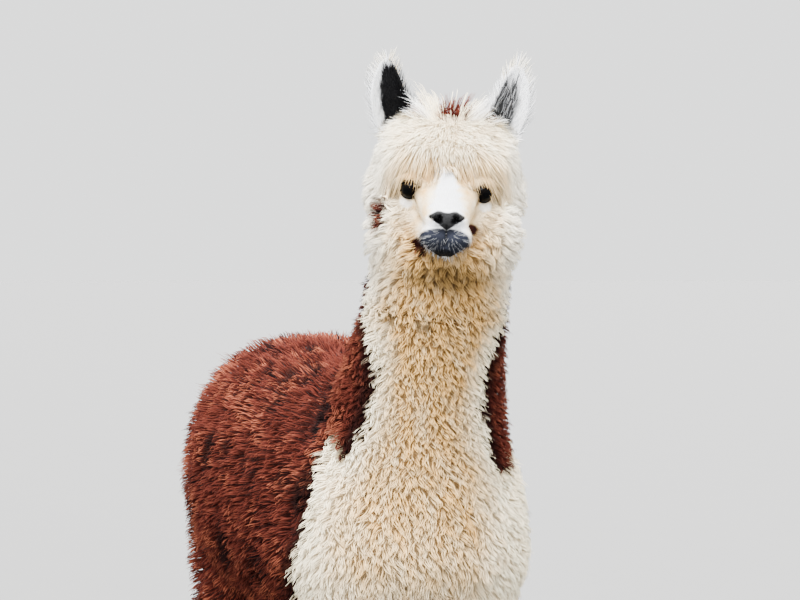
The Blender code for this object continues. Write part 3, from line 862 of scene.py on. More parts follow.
def coat_lay(places, normals, shares):
    """The way the coat lies at each root, along the skin."""
    spots = head_places(places)
    side = np.tanh(places[:, 0] / 0.06)
    flat = np.zeros(len(places))
    from_crown = unit(spots - np.array(CROWN_SPOT))
    from_nose = unit(spots - np.array(NOSE_SPOT))
    from_mouth = unit(spots - np.array((0, 0.09, -0.05)))
    hand = np.sign(spots[:, 0])
    across, _ = ear_places(spots)
    ways = {
        "face": (from_nose + (0, 0, 0.15)) @ HEAD_AXES,
        "lip": from_nose @ HEAD_AXES,
        "brow": np.where(
            spots[:, 2:] > 0, from_crown + (0, 0.45, -0.35), from_mouth + (0, -0.1, -0.5)
        ) @ HEAD_AXES,
        "crown": (from_crown + (0, 0.25, -0.30)) @ HEAD_AXES,
        "cheek": (0.8 * from_mouth + (0, -0.1, -0.75)) @ HEAD_AXES,
        "ear": np.stack([hand * (0.20 + 0.55 * across), flat, flat + 1], axis=1) @ HEAD_AXES,
        "neck": np.stack([0.12 * side, flat, flat - 1], axis=1),
        "chest": np.stack([0.10 * side, flat - 0.05, flat - 1], axis=1),
        "trunk": np.stack([0.55 * side, flat + 0.45, flat - 1], axis=1),
        "leg": np.stack([flat, flat + 0.05, flat - 1], axis=1),
        "foot": np.stack([flat, flat - 0.35, flat - 1], axis=1),
        "tail": np.stack([0.30 * side, flat + 0.35, flat - 1], axis=1),
    }
    lay = sum(shares[name][:, None] * way for name, way in ways.items())
    from_lid, away = from_eye(spots)
    near = (ramp(away, 0.045, 0.028) * ramp(spots[:, 2], 0.010, 0.0))[:, None]
    lay = lay * (1 - near) + near * unit(from_lid) @ HEAD_AXES
    stir = 0.15 + 0.20 * shares["trunk"][:, None] + 0.15 * shares["chest"][:, None]
    lay += stir * np.stack([ripple(places, 0.07, seed) for seed in (21, 22, 23)], axis=1)
    return unit(lay - normals * (lay * normals).sum(axis=1)[:, None])


def scatter(mesh, rng):
    """Random places on the mesh, no nearer than the coat's spacing.

    Each comes with the corners and loops of its triangle, and the weights of these.
    """
    corners, loops = triangles_of(mesh)
    places = corners_of(mesh)
    a, b, c = (places[corners[:, k]] for k in range(3))
    area = np.linalg.norm(np.cross(b - a, c - a), axis=1) / 2
    spacing = spacing_of((a + b + c) / 3)
    wanted = area / spacing ** 2 * (1 - hairless((a + b + c) / 3))
    count = int(wanted.sum() * THIN * CANDIDATES)
    pick = rng.choice(len(corners), count, p=wanted / wanted.sum())
    first, second = rng.random(count), rng.random(count)
    flip = first + second > 1
    first[flip], second[flip] = 1 - first[flip], 1 - second[flip]
    weight = np.stack([1 - first - second, first, second], axis=1)[:, :, None]
    place = (places[corners[pick]] * weight).sum(axis=1)
    kept = thin_out(place, spacing_of(place))
    pick = pick[kept]
    return place[kept], corners[pick], loops[pick], weight[kept]


def sizes_of(place, shares):
    """The sizes of the coat at each root, with its longer rims of the ears, topknot and brow."""
    spots = head_places(place)
    coat = {what: coat_value(shares, what) for what in Coat._fields}
    over_eye, away = fringe(spots), from_eye(spots)[1]
    ledge = ramp(away, 0.078, 0.066) * ramp(away, 0.044, 0.050) * ramp(spots[:, 2], 0.012, 0.026)
    across, up = ear_places(spots)
    rim = shares["ear"] * np.maximum(ramp(np.abs(across), 0.50, 0.95), ramp(up, 0.75, 0.95))
    inside = shares["ear"] * ramp(np.abs(across), 0.75, 0.5) * (spots[:, 0] > 0)
    knot = blot(spots, *TOPKNOT) * shares["crown"]
    body = shares["trunk"] + shares["chest"] * is_brown(place)

    coat["depth"] = np.maximum(coat_depth(place, shares), FRINGE_DEPTH * over_eye)
    coat["lay"] += over_eye * np.where(spots[:, 0] > 0, 1.00, 0.85)
    coat["lay"] *= (1 + 0.45 * ledge) * (1 - 0.75 * knot)
    coat["loose"] *= (1 - 0.6 * over_eye) * (1 + 0.8 * rim) * (1 + 0.8 * knot)
    coat["clump"] *= 1 - 0.5 * knot
    coat["width"] *= 1 - 0.3 * knot + 0.1 * over_eye - 0.2 * rim
    coat["pull"] = coat["pull"] * (1 - 0.8 * over_eye) + 0.45 * knot
    coat["reach"] = (1 + 1.7 * rim + 1.7 * knot + inside) * (1 - 0.45 * partings(place) * body)
    coat["reach"] *= 1 + 0.62 * ledge
    return coat, knot


def plant(seed):
    """Sets out the roots of the whole coat on the skin, each part at its own spacing."""
    if planted:
        return planted["roots"]
    rng = np.random.default_rng(seed)
    mesh = bpy.data.objects[SKIN].data
    place, corners, loops, weight = scatter(mesh, rng)
    normal = unit((normals_of(mesh)[corners] * weight).sum(axis=1))
    patches = read_all(mesh.uv_layers[MAP].uv, "vector", width=2)
    patch = (patches[loops] * weight).sum(axis=1)
    shares = regions(place)
    coat, knot = sizes_of(place, shares)
    leader = leaders_of(place, coat["clump"])
    luck = rng.random((len(place), 8))   # for its length, shade, straying, drift, wave and width
    coat["reach"] *= 1 + knot * (luck[leader, 7] - 0.55)
    side = head_places(place)[:, 0]
    beside = ramp(np.abs(np.abs(side - 0.009) - 0.053), 0.009, 0.004)
    streaks = np.maximum(ramp(np.abs(side - 0.008), 0.030, 0.016), 0.7 * beside)
    red = (knot > IN_KNOT) & (luck[leader, 4] > 0.98 - 0.84 * streaks)
    coat["reach"] *= np.where(red, 0.72, 1.0)
    planted["roots"] = Roots(
        place, normal, patch, coat_lay(place, normal, shares),
        np.stack([shares[name] for name in COATS], axis=1), coat, leader, luck, red,
    )
    return planted["roots"]


def is_brown(places):
    return markings(places)[:, 0] > 0.5


def hairless(places):
    """1 where nothing grows: the eyes' openings, nostrils, mouth and soles."""
    bare = np.maximum(dark_places(places), ramp(places[:, 2], 0.006, 0.003))
    spots = head_places(places)
    bare = np.maximum(bare, nose_pad(spots))
    way, away = from_eye(spots)
    for sign in HANDS.values():
        bare = np.maximum(bare, (spots[:, 0] * sign > 0) * in_opening(way, away, sign, 0.22))
    bare = np.maximum(bare, ramp(away, EYE_RADIUS + 0.0014, EYE_RADIUS + 0.0010))
    return (bare > 0.5).astype(float)


def paths_of(roots, chosen, times, settings):
    """Where each tuft runs: its middle line at these times, 0 at the root and 1 at the tip."""
    coat = {what: values[chosen] for what, values in roots.coat.items()}
    normal, lay, luck = roots.normal[chosen], roots.lay[chosen], roots.luck[chosen]
    across = np.cross(normal, lay)
    leader_luck = roots.luck[roots.leader[chosen]]
    length = settings.length * (0.78 + 0.30 * luck[:, 0] + 0.16 * (leader_luck[:, 1] - 0.5))
    stray = luck[:, 2] > 1 - settings.strays
    length = length * coat["reach"] * np.where(stray, 1.35, 1.0)
    loose = coat["loose"] * settings.looseness * np.where(stray, 2.0, 1.0)
    drift = across * (2 * luck[:, 3] - 1)[:, None] + lay * (luck[:, 4] - 0.5)[:, None]
    drift = drift + normal * (luck[:, 5] - 0.6)[:, None]
    phase = 2 * math.pi * (leader_luck[:, 3] + 0.25 * luck[:, 6])
    lines = []
    for time in times:
        rise = length * coat["depth"] * (1 - (1 - time) ** 1.7)
        run = length * coat["depth"] * coat["lay"] * time ** 1.25
        swing = phase + 2 * math.pi * coat["waves"] * time
        curl = coat["curl"] * settings.curl * min(1, 2.5 * time)
        line = roots.place[chosen] - normal * (SINK * (1 - time))
        line = line + normal * (rise + curl * np.cos(swing))[:, None]
        line = line + lay * run[:, None] + across * (curl * np.sin(swing))[:, None]
        line = line + drift * (loose * time ** 1.4)[:, None]
        line[:, 2] = np.maximum(line[:, 2], FLOOR_GAP)
        lines.append(line)
    return np.stack(lines, axis=1)


def tuft_faces(times):
    """The triangles of one closed tuft with rings at these times, and their places on the map."""
    pattern, spread = [(0, 2, 1)], [((0, 0), (0.6, 0), (0.3, 0.1))]
    for ring, (v, w) in enumerate(zip(times, times[1:])):
        low, high = ring * SIDES, (ring + 1) * SIDES
        for k in range(SIDES):
            after = (k + 1) % SIDES
            left, right = k / SIDES, (k + 1) / SIDES
            if ring == len(times) - 2:
                pattern.append((low + k, low + after, high))
                spread.append(((left, v), (right, v), ((left + right) / 2, w)))
                continue
            pattern.append((low + k, low + after, high + after))
            pattern.append((low + k, high + after, high + k))
            spread.append(((left, v), (right, v), (right, w)))
            spread.append(((left, v), (right, w), (left, w)))
    return pattern, spread


def grow(roots, chosen, title, faces, settings):
    """Makes one piece of coat: a closed three-sided tuft at each of the chosen roots."""
    times = RING_TIMES[faces] + (1.0,)
    lines = paths_of(roots, chosen, times, settings)
    heads = paths_of(roots, roots.leader[chosen], times, settings)
    pull = roots.coat["pull"][chosen] * settings.clumping
    gather = np.array(times) ** 1.2
    lines = lines + (heads - lines) * (pull[:, None] * gather)[:, :, None]

    count, rings = len(chosen), len(times) - 1
    along = unit(np.gradient(lines, axis=1))
    across = unit(np.cross(roots.normal[chosen][:, None, :], along))
    over = np.cross(along, across)
    luck = roots.luck[chosen]
    stray = luck[:, 2] > 1 - settings.strays
    width = roots.coat["width"][chosen] * settings.thickness * (0.75 + 0.5 * luck[:, 7])
    width = width * np.where(stray, 0.5, 1.0)
    taper = read_rows(TAPER, times[:-1])
    turn = 2 * math.pi * (np.arange(SIDES) / SIDES + luck[:, 0, None])
    flat, tall = np.cos(turn)[:, None, :, None], THICKNESS * np.sin(turn)[:, None, :, None]
    spokes = flat * across[:, :-1, None, :] + tall * over[:, :-1, None, :]
    walls = lines[:, :-1, None, :] + spokes * (width[:, None] * taper)[:, :, None, None]
    places = np.concatenate([walls.reshape(count, -1, 3), lines[:, -1:, :]], axis=1)

    pattern, spread = tuft_faces(times)
    corners = rings * SIDES + 1
    triangles = np.arange(count)[:, None, None] * corners + np.array(pattern)
    offsets = PATCH * (np.array(spread).reshape(-1, 2) - 0.5)
    patches = np.clip(roots.patch[chosen][:, None, :] + offsets, 0, 1)
    mesh = mesh_from(places.reshape(-1, 3), triangles.reshape(-1, 3), title, patches)
    facing = np.concatenate([spokes.reshape(count, -1, 3), along[:, -1:, :]], axis=1)
    facing = unit(unit(facing) + SOFTENING * roots.normal[chosen][:, None, :])
    soften(mesh, facing.reshape(-1, 3))

    height = np.append(np.repeat(times[:-1], SIDES), 1.0)
    marks, strand = tuft_marks(roots, chosen, lines[:, len(times) // 2], height)
    paint(mesh, "marks", marks)
    paint(mesh, "strand", strand)
    return add_object(mesh, title)


def tuft_marks(roots, chosen, middles, height):
    """What each corner of the tufts keeps: its four marks, and its strand.

    The strand is the height up the tuft, the luck of the tuft and of its lock, and how white.
    """
    luck, corners = roots.luck[chosen], len(height)
    marks = markings(middles)
    spots = head_places(roots.place[chosen])
    spoke = LIP_SPOKES * np.arctan2(spots[:, 0] - NOSE_SPOT[0], NOSE_SPOT[2] - spots[:, 2])
    spoke = np.sin(spoke + 1.5 * ripple(spots, 0.02, 45))
    pale = ((spoke > 0.35) & (luck[:, 5] > 0.45)) * roots.share[chosen, LIP]
    marks[:, 1] *= 1 - (0.25 + 0.25 * luck[:, 1]) * pale
    marks[:, 4] = np.maximum(marks[:, 4], pale)
    red = roots.red[chosen]
    marks[red, 0] = 1
    marks[(spots[:, 2] > 0.05) & (roots.share[chosen, EAR] < 0.3), 3] = 0
    left_ear = (roots.share[chosen, EAR] > 0.5) & (roots.place[chosen, 0] > 0)
    marks[:, 3] *= np.where(left_ear & (luck[:, 5] > 0.70), 0.62, 1)
    marks = np.repeat(marks, corners, axis=0)
    strand = np.ones((len(chosen), corners, 4))
    strand[:, :, 0] = height
    crown = roots.share[chosen, CROWN]
    strand[:, :, 1] = (luck[:, 1] + 0.8 * crown * (1 - luck[:, 1]))[:, None]
    strand[:, :, 2] = roots.luck[roots.leader[chosen]][:, 2, None]
    strand[red, :, 2] = 0.9
    rooted = (blot(spots, *TOPKNOT) > IN_KNOT)[:, None]
    strand[:, :, 3] = marks[:, 4].reshape(-1, corners) * np.where(rooted, 0.4 + 0.6 * height, 1)
    return marks[:, :4], strand.reshape(-1, 4)


def dress(context, parts, title, faces, split_by=0, brown=None):
    """Grows the coat of these parts, in as many pieces as it takes, and fixes them to the body.

    Where brown is told, only the tufts on the brown markings grow, or only the others.
    """
    settings = context.scene.alpaca_wool
    roots = plant(settings.seed)
    names = list(COATS)
    own = np.isin(roots.share.argmax(axis=1), [names.index(part) for part in parts])
    if brown is not None:
        own &= is_brown(roots.place) == brown
    chosen = np.flatnonzero(own)
    chosen = chosen[np.argsort(roots.place[chosen, split_by], kind="stable")]
    if not len(chosen):
        raise RuntimeError(f"no roots for {title}")
    pieces = math.ceil(len(chosen) * faces / PIECE_TRIANGLES)
    for number, share in enumerate(np.array_split(chosen, pieces)):
        name = title if pieces == 1 else f"{title}_{number + 1}"
        piece = grow(roots, share, name, faces, settings)
        piece.data.materials.append(wool_finish(context.scene.alpaca_colours))
        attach(piece, BODY)


# ---- Finishes --------------------------------------------------------------------------------


class Wire:
    """A number that runs through a finish's nodes, to reckon with like any other."""

    def __init__(self, finish, socket):
        self.finish = finish
        self.socket = socket

    def reckon(self, operation, first, second=0.0, clamp=False):
        node = self.finish.add(
            "ShaderNodeMath", {"operation": operation, "use_clamp": clamp}, {0: first, 1: second}
        )
        return Wire(self.finish, node.outputs[0])

    def __add__(self, other):
        return self.reckon("ADD", self, other)

    __radd__ = __add__

    def __sub__(self, other):
        return self.reckon("SUBTRACT", self, other)

    def __rsub__(self, other):
        return self.reckon("SUBTRACT", other, self)

    def __mul__(self, other):
        return self.reckon("MULTIPLY", self, other)

    __rmul__ = __mul__

    def kept(self):
        """The same number, held between 0 and 1."""
        return self.reckon("ADD", self, 0.0, clamp=True)

    def eased(self, low, high):
        """0 at low, 1 at high, and eased in between."""
        node = self.finish.add(
            "ShaderNodeMapRange",
            {"interpolation_type": "SMOOTHSTEP"},
            {"Value": self, "From Min": low, "From Max": high},
        )
        return Wire(self.finish, node.outputs["Result"])


class Finish:
    """A material in the making."""

    def __init__(self, name, tree=None):
        if tree is None:
            self.material = bpy.data.materials.new(name)
            self.material.use_nodes = True
            tree = self.material.node_tree
        self.tree = tree
        self.tree.nodes.clear()

    def add(self, kind, settings=None, values=None):
        """Adds a node, sets it up, and then feeds its sockets values or wires."""
        node = self.tree.nodes.new(kind)
        for key, value in (settings or {}).items():
            setattr(node, key, value)
        for key, value in (values or {}).items():
            if isinstance(value, Wire):
                self.tree.links.new(value.socket, node.inputs[key])
            else:
                node.inputs[key].default_value = value
        return node

    def read(self, name):
        """The four numbers kept under a name on the mesh."""
        node = self.add("ShaderNodeAttribute", {"attribute_name": name})
        colour = Wire(self, node.outputs["Color"])
        parts = self.add("ShaderNodeSeparateColor", None, {"Color": colour})
        sockets = [*parts.outputs[:3], node.outputs["Alpha"]]
        return [Wire(self, socket) for socket in sockets]

    def mix(self, share, first, second, blend="MIX"):
        """A colour between two, or the second laid over the first."""
        node = self.add(
            "ShaderNodeMix",
            {"data_type": "RGBA", "blend_type": blend, "clamp_factor": True},
            {0: share, 6: first, 7: second},
        )
        return Wire(self, node.outputs[2])

    def spot(self):
        """Places on the piece, in metres."""
        return Wire(self, self.add("ShaderNodeTexCoord").outputs["Object"])

    def direction(self):
        """Which way a ray of the studio's air goes."""
        return Wire(self, self.add("ShaderNodeTexCoord").outputs["Generated"])

    def stretched(self, vector, scales):
        node = self.add("ShaderNodeVectorMath", {"operation": "MULTIPLY"}, {0: vector, 1: scales})
        return Wire(self, node.outputs[0])

    def lit(self, colour, level):
        """A colour made lighter or darker by a number."""
        node = self.add("ShaderNodeVectorMath", {"operation": "SCALE"}, {0: colour, "Scale": level})
        return Wire(self, node.outputs[0])

    def speckle(self, vector, scale, detail=2.0):
        """Smooth noise about 0.5, with this many bumps to a metre."""
        node = self.add(
            "ShaderNodeTexNoise", None, {"Vector": vector, "Scale": scale, "Detail": detail}
        )
        return Wire(self, node.outputs["Fac"])

    def bump(self, height, distance, strength=1.0):
        node = self.add(
            "ShaderNodeBump", None, {"Height": height, "Distance": distance, "Strength": strength}
        )
        return Wire(self, node.outputs["Normal"])

    def done(self, **values):
        """Closes the material with a shader that takes these values."""
        named = {key.replace("_", " "): value for key, value in values.items()}
        shader = self.add("ShaderNodeBsdfPrincipled", None, named)
        output = self.add("ShaderNodeOutputMaterial")
        self.tree.links.new(shader.outputs[0], output.inputs["Surface"])
        return self.material


def solid(colour):
    return (*colour, 1.0)


def fleece_colour(finish, colours):
    """The coat's colour at a place on a tuft or on the skin, from what is kept on the mesh."""
    chestnut, slate, tan, black = finish.read("marks")
    height, luck, clump, pale = finish.read("strand")
    # Each fleece darkens from its tips towards the skin into its shade colour: painted shade inside
    # the coat.
    tip = height.eased(0.10, 0.85)
    cream = finish.mix(tip, solid(colours.cream_shade), solid(colours.cream))
    warm = finish.mix(tip, solid(colours.tan_shade), solid(colours.tan))
    brown = finish.mix(tip, solid(colours.chestnut_shade), solid(colours.chestnut))
    # Lit patches and the tips of the chestnut fleece are lightened towards a paler colour: painted
    # highlight.
    patch = finish.speckle(finish.spot(), 13, 3).eased(0.42, 0.62)
    highlit = (tip * (0.15 + 0.45 * clump + 0.55 * patch)).eased(0.40, 1.0)
    brown = finish.mix(highlit * 0.50, brown, solid(colours.chestnut_tip))
    dark = finish.mix(tip, solid(colours.slate_shade), solid(colours.slate))
    cream = finish.mix(pale, cream, solid(colours.white))
    colour = finish.mix((tan + 0.22 * (clump - 0.5) * (1 - pale)).kept(), cream, warm)
    colour = finish.mix(chestnut, colour, brown)
    colour = finish.mix(slate, colour, dark)
    # The black colour is laid over dark hair, nose and hide, and over the painted shade of folds,
    # partings, creases, the chin and the eyes' surrounds.
    colour = finish.mix(black, colour, solid(colours.black))
    level = 0.86 + 0.16 * luck + 0.12 * clump
    return finish.lit(colour, level)


def wool_finish(colours):
    """The finish of the tufts."""
    made = bpy.data.materials.get("wool")
    if made:
        return made
    finish = Finish("wool")
    colour = fleece_colour(finish, colours)
    return finish.done(Base_Color=colour, Roughness=0.95, Specular_IOR_Level=0.05)


def skin_finish(colours):
    """Short fine hair over the hide: bare and dark round the eyes, nostrils and mouth."""
    finish = Finish("hide")
    colour = fleece_colour(finish, colours)
    dark, _, _, _ = finish.read("hide")
    spot = finish.spot()
    hairs = finish.speckle(finish.stretched(spot, (1.0, 0.45, 0.45)), 1500, 3)
    locks = finish.speckle(finish.stretched(spot, (1.0, 0.40, 0.40)), 420, 2)
    colour = finish.lit(colour, 0.61 + 0.22 * hairs + 0.26 * locks)
    colour = finish.mix(dark, colour, solid(colours.hide))
    normal = finish.bump(hairs + 1.6 * locks, 0.0014, 0.8)
    return finish.done(
        Base_Color=colour, Roughness=0.85 - 0.35 * dark, Normal=normal, Specular_IOR_Level=0.10
    )


def eye_finish(colours):
    """Wet, almost black, with a brown iris and a wide pupil that can just be made out."""
    finish = Finish("eye")
    pupil, iris, grain, _ = finish.read("iris")
    streaks = (finish.speckle(finish.spot(), 700, 3) - 0.5) * 0.6
    brown = finish.mix((grain + streaks).kept(), solid(colours.iris_shade), solid(colours.iris))
    colour = finish.mix(iris, solid(colours.eye_rim), brown)
    colour = finish.mix(pupil, colour, solid(colours.pupil))
    return finish.done(Base_Color=colour, Roughness=0.08, Specular_IOR_Level=0.03)


def nail_finish(colours):
    """Dark horn, ringed by its growth and paler where it is worn."""
    finish = Finish("nail")
    spot = finish.spot()
    rings = finish.speckle(finish.stretched(spot, (60, 160, 420)), 1.0, 2)
    grain = finish.speckle(finish.stretched(spot, (900, 120, 120)), 1.0, 2)
    colour = finish.mix(rings.eased(0.35, 0.7), solid(colours.nail), solid(colours.nail_worn))
    normal = finish.bump(rings + 0.4 * grain, 0.0008, 0.6)
    return finish.done(Base_Color=colour, Roughness=0.45 + 0.2 * grain, Normal=normal)


# ---- Settings --------------------------------------------------------------------------------


def colour_of(title, words, value):
    return FloatVectorProperty(
        name=title, description=words, subtype="COLOR", size=3, min=0, max=1, default=value
    )


def share_of(title, words, value, low, high):
    return FloatProperty(
        name=title, description=words, subtype="FACTOR", min=low, max=high, default=value
    )


class AlpacaWool(bpy.types.PropertyGroup):
    """How the coat is cut and how it lies."""

    length: share_of("Length", "Length of the tufts, as a share of the usual", 1.0, 0.2, 2.0)
    thickness: share_of("Thickness", "Thickness of the tufts, likewise", 1.0, 0.3, 2.0)
    looseness: share_of("Looseness", "How far tufts stray from the coat's lie", 1.0, 0.0, 3.0)
    curl: share_of("Curl", "Size of the crimp, as a share of the usual", 1.0, 0.0, 3.0)
    clumping: share_of("Clumping", "How closely tufts gather into locks", 1.0, 0.0, 1.5)
    strays: share_of("Stray hairs", "Share of the tufts that stand out, finer", 0.08, 0.0, 0.5)
    seed: IntProperty(
        name="Seed", description="Draws another arrangement of the tufts", default=7, min=0
    )


class AlpacaColours(bpy.types.PropertyGroup):
    """The colours of the coat, eyes and nails."""

    cream: colour_of("Cream", "Tips of the cream fleece", (0.99, 0.895, 0.655))
    white: colour_of("White", "White hair of the face, ears and topknot", (0.80, 0.81, 0.83))
    # The shade colours are each fleece near the skin, darkened by painted shade inside the coat.
    cream_shade: colour_of("Cream shade", "Cream fleece near the skin", (0.86, 0.72, 0.49))
    tan: colour_of("Tan", "Tips of the cream fleece where it is stained tan", (0.76, 0.45, 0.15))
    tan_shade: colour_of("Tan shade", "Tan fleece near the skin", (0.34, 0.20, 0.07))
    chestnut: colour_of("Chestnut", "The chestnut fleece", (0.080, 0.0170, 0.0108))
    chestnut_shade: colour_of("Chestnut shade", "The same near the skin", (0.018, 0.003, 0.002))
    # The colour of the chestnut's tips below is painted highlight on the tips and lit patches of
    # the chestnut fleece.
    chestnut_tip: colour_of("Chestnut tips", "Sun-bleached tips of it", (0.32, 0.092, 0.046))
    slate: colour_of("Slate", "Hair of the upper lip", (0.0155, 0.0180, 0.0275))
    slate_shade: colour_of("Slate shade", "The same near the skin", (0.008, 0.009, 0.012))
    # Black is also used for painted shade in folds, partings, creases, under the chin and round the
    # eyes.
    black: colour_of("Black", "Hair inside its right ear, and the nose", (0.0009, 0.0009, 0.0012))
    # In the nostrils, the groove under the nose and the mouth, this hide colour is also painted
    # shade of their hollows.
    hide: colour_of("Hide", "Bare hide of nostrils, mouth and lids", (0.0016, 0.0016, 0.0018))
    pupil: colour_of("Pupil", "Pupil", (0.0004, 0.0004, 0.0005))
    iris: colour_of("Iris", "Iris", (0.0016, 0.0010, 0.0007))
    iris_shade: colour_of("Iris shade", "Streaks in the iris", (0.0008, 0.0006, 0.0005))
    eye_rim: colour_of("Eye's edge", "The eye outside the iris", (0.0012, 0.0010, 0.0010))
    nail: colour_of("Nail", "Horn of the nails", (0.035, 0.030, 0.026))
    nail_worn: colour_of("Worn nail", "Horn where it is worn", (0.16, 0.13, 0.10))
    floor: colour_of("Floor", "Studio floor", (0.1195, 0.1195, 0.1180))
    horizon: colour_of("Studio horizon", "Light from the sides", (0.55, 0.555, 0.555))
    dome: colour_of("Studio dome", "Light from overhead", (1.0, 1.0, 1.0))


class AlpacaStudio(bpy.types.PropertyGroup):
    """Where the camera stands, and the studio's light."""

    turn: FloatProperty(
        name="Turn", description="Camera's place round the animal, from straight ahead",
        default=math.radians(-23), subtype="ANGLE",
    )
    distance: FloatProperty(
        name="Distance", description="From the point between the eyes to the camera",
        default=5.85, min=1, subtype="DISTANCE",
    )
    aside: FloatProperty(
        name="Aside", description="How far the camera stands left of the line to the eyes",
        default=0.0816, subtype="DISTANCE",
    )
    below: FloatProperty(
        name="Below", description="How far the camera stands under the eyes",
        default=0.0895, subtype="DISTANCE",
    )
    pitch: FloatProperty(
        name="Pitch", description="How far the camera looks down",
        default=math.radians(0.997), subtype="ANGLE",
    )
    lens: FloatProperty(
        name="Lens", description="Focal length in millimetres", default=150, min=20, max=600
    )
    key: FloatProperty(name="Key light", description="Strength", default=16.0, min=0)
    back: FloatProperty(name="Back light", description="Strength", default=5.4, min=0)
    air: FloatProperty(name="Air", description="Strength of the light all round", default=3.6)
    dome: FloatProperty(
        name="Dome", description="How much brighter it is overhead than at the horizon",
        default=2.0, min=1,
    )


# ---- Operators -------------------------------------------------------------------------------


class ALPACA_OT_skin(bpy.types.Operator):
    """Makes one skin under the whole coat, with its muzzle and lids"""

    bl_idname = "alpaca.skin"
    bl_label = "Skin"

    def execute(self, context):
        head = head_skin()
        shape_muzzle(head)
        widen_ears(head)
        open_sockets(head)
        for hand, sign in HANDS.items():
            join_with(head, lid(hand, sign))
        skin = body_skin()
        join_with(skin, head)
        skin.name = skin.data.name = SKIN
        seam = np.abs(over_seam(corners_of(skin.data))) < 0.03
        skin.vertex_groups.new(name="seam").add(np.flatnonzero(seam).tolist(), 1, "REPLACE")
        smooth(skin, 12, "seam")
        mesh = skin.data
        shade_smooth(mesh)
        unwrap(skin)
        places = corners_of(mesh)
        shares = regions(places)
        short = shares["face"] + shares["lip"] + 0.5 * shares["ear"] + 0.5 * shares["foot"]
        strand = np.full((len(places), 4), 0.5)
        # Under the wool the skin takes the fleece's colour near its roots: painted shade of the
        # coat above it; the short-haired parts take the tips' colour.
        strand[:, 0] = 0.22 + 0.68 * short
        marks = markings(places)
        strand[:, 3] = marks[:, 4] * (1 - shares["crown"])
        hide = np.ones((len(places), 4))
        hide[:, 0] = dark_places(places)
        paint(mesh, "marks", marks[:, :4])
        paint(mesh, "strand", strand)
        paint(mesh, "hide", hide)
        mesh.materials.clear()
        mesh.materials.append(skin_finish(context.scene.alpaca_colours))
        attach(skin, BODY)
        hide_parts(*FLESH)
        return {"FINISHED"}


class ALPACA_OT_eyes(bpy.types.Operator):
    """Makes the eyeballs, each with its iris and wide pupil"""

    bl_idname = "alpaca.eyes"
    bl_label = "Eyes"

    def execute(self, context):
        for hand, sign in HANDS.items():
            out, up, look = eye_axes(sign)
            work = bmesh.new()
            bmesh.ops.create_uvsphere(work, u_segments=48, v_segments=32, radius=EYE_RADIUS)
            mesh = bpy.data.meshes.new(f"eyeball_{hand}")
            into_mesh(work, mesh)
            places = corners_of(mesh)
            polar = places / EYE_RADIUS
            away = np.arccos(np.clip(polar[:, 2], -1, 1))
            iris = ramp(away, *IRIS_EDGE)
            pupil = ramp(np.hypot(*(polar[:, :2] / PUPIL_HALVES).T), 1.1, 0.9)
            pupil *= polar[:, 2] > 0
            places *= (1 + CORNEA * ramp(away, 0.85, 0.35))[:, None]
            axes = np.array([Vector(np.array(way) @ HEAD_AXES) for way in (out, up, look)])
            move_corners(mesh, places @ axes + np.array(EYES[hand]))
            grain = ramp(away, 0.2, 0.8)
            paint(mesh, "iris", np.stack([pupil, iris, grain, np.ones(len(places))], axis=1))
            shade_smooth(mesh)
            mesh.materials.append(eye_finish(context.scene.alpaca_colours))
            eye = add_object(mesh, f"eyeball_{hand}")
            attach(eye, BODY)
            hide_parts(f"eye_{hand}")
        return {"FINISHED"}


class ALPACA_OT_nails(bpy.types.Operator):
    """Makes the nails, rounded and finished as horn"""

    bl_idname = "alpaca.nails"
    bl_label = "Nails"

    def execute(self, context):
        finish = nail_finish(context.scene.alpaca_colours)
        for name in NAILS:
            nail = copy_nodes([name], name.replace("nail", "horn"))
            modify(nail, "SUBSURF", levels=2, render_levels=2)
            shade_smooth(nail.data)
            nail.data.materials.clear()
            nail.data.materials.append(finish)
            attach(nail, BODY)
            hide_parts(name)
        return {"FINISHED"}


class ALPACA_OT_head_coat(bpy.types.Operator):
    """Grows the short hair of the face, the wool of the head and the hair of the ears"""

    bl_idname = "alpaca.head_coat"
    bl_label = "Coat of the head"

    def execute(self, context):
        dress(context, ["face", "lip", "brow"], "coat_face", FLAT_TUFT)
        dress(context, ["ear"], "coat_ears", FINE_TUFT)
        dress(context, ["crown", "cheek"], "coat_head", FINE_TUFT)
        return {"FINISHED"}


class ALPACA_OT_neck_coat(bpy.types.Operator):
    """Grows the crimped fleece of the neck and the long locks of the breast"""

    bl_idname = "alpaca.neck_coat"
    bl_label = "Coat of the neck"

    def execute(self, context):
        dress(context, ["neck"], "coat_throat", LONG_TUFT, brown=False)
        dress(context, ["neck"], "coat_mantle", LONG_TUFT, brown=True)
        dress(context, ["chest"], "coat_breast", LONG_TUFT, brown=False)
        dress(context, ["chest"], "coat_shoulder", LONG_TUFT, brown=True)
        return {"FINISHED"}


class ALPACA_OT_body_coat(bpy.types.Operator):
    """Grows the fleece of the trunk and tail"""

    bl_idname = "alpaca.body_coat"
    bl_label = "Coat of the body"

    def execute(self, context):
        dress(context, ["trunk"], "coat_trunk", FINE_TUFT, split_by=1)
        dress(context, ["tail"], "coat_tail", FINE_TUFT)
        return {"FINISHED"}


class ALPACA_OT_leg_coat(bpy.types.Operator):
    """Grows the fleece of the legs and the short hair of the feet"""

    bl_idname = "alpaca.leg_coat"
    bl_label = "Coat of the legs"

    def execute(self, context):
        dress(context, ["leg"], "coat_legs", FINE_TUFT, split_by=1)
        dress(context, ["foot"], "coat_feet", FLAT_TUFT)
        return {"FINISHED"}


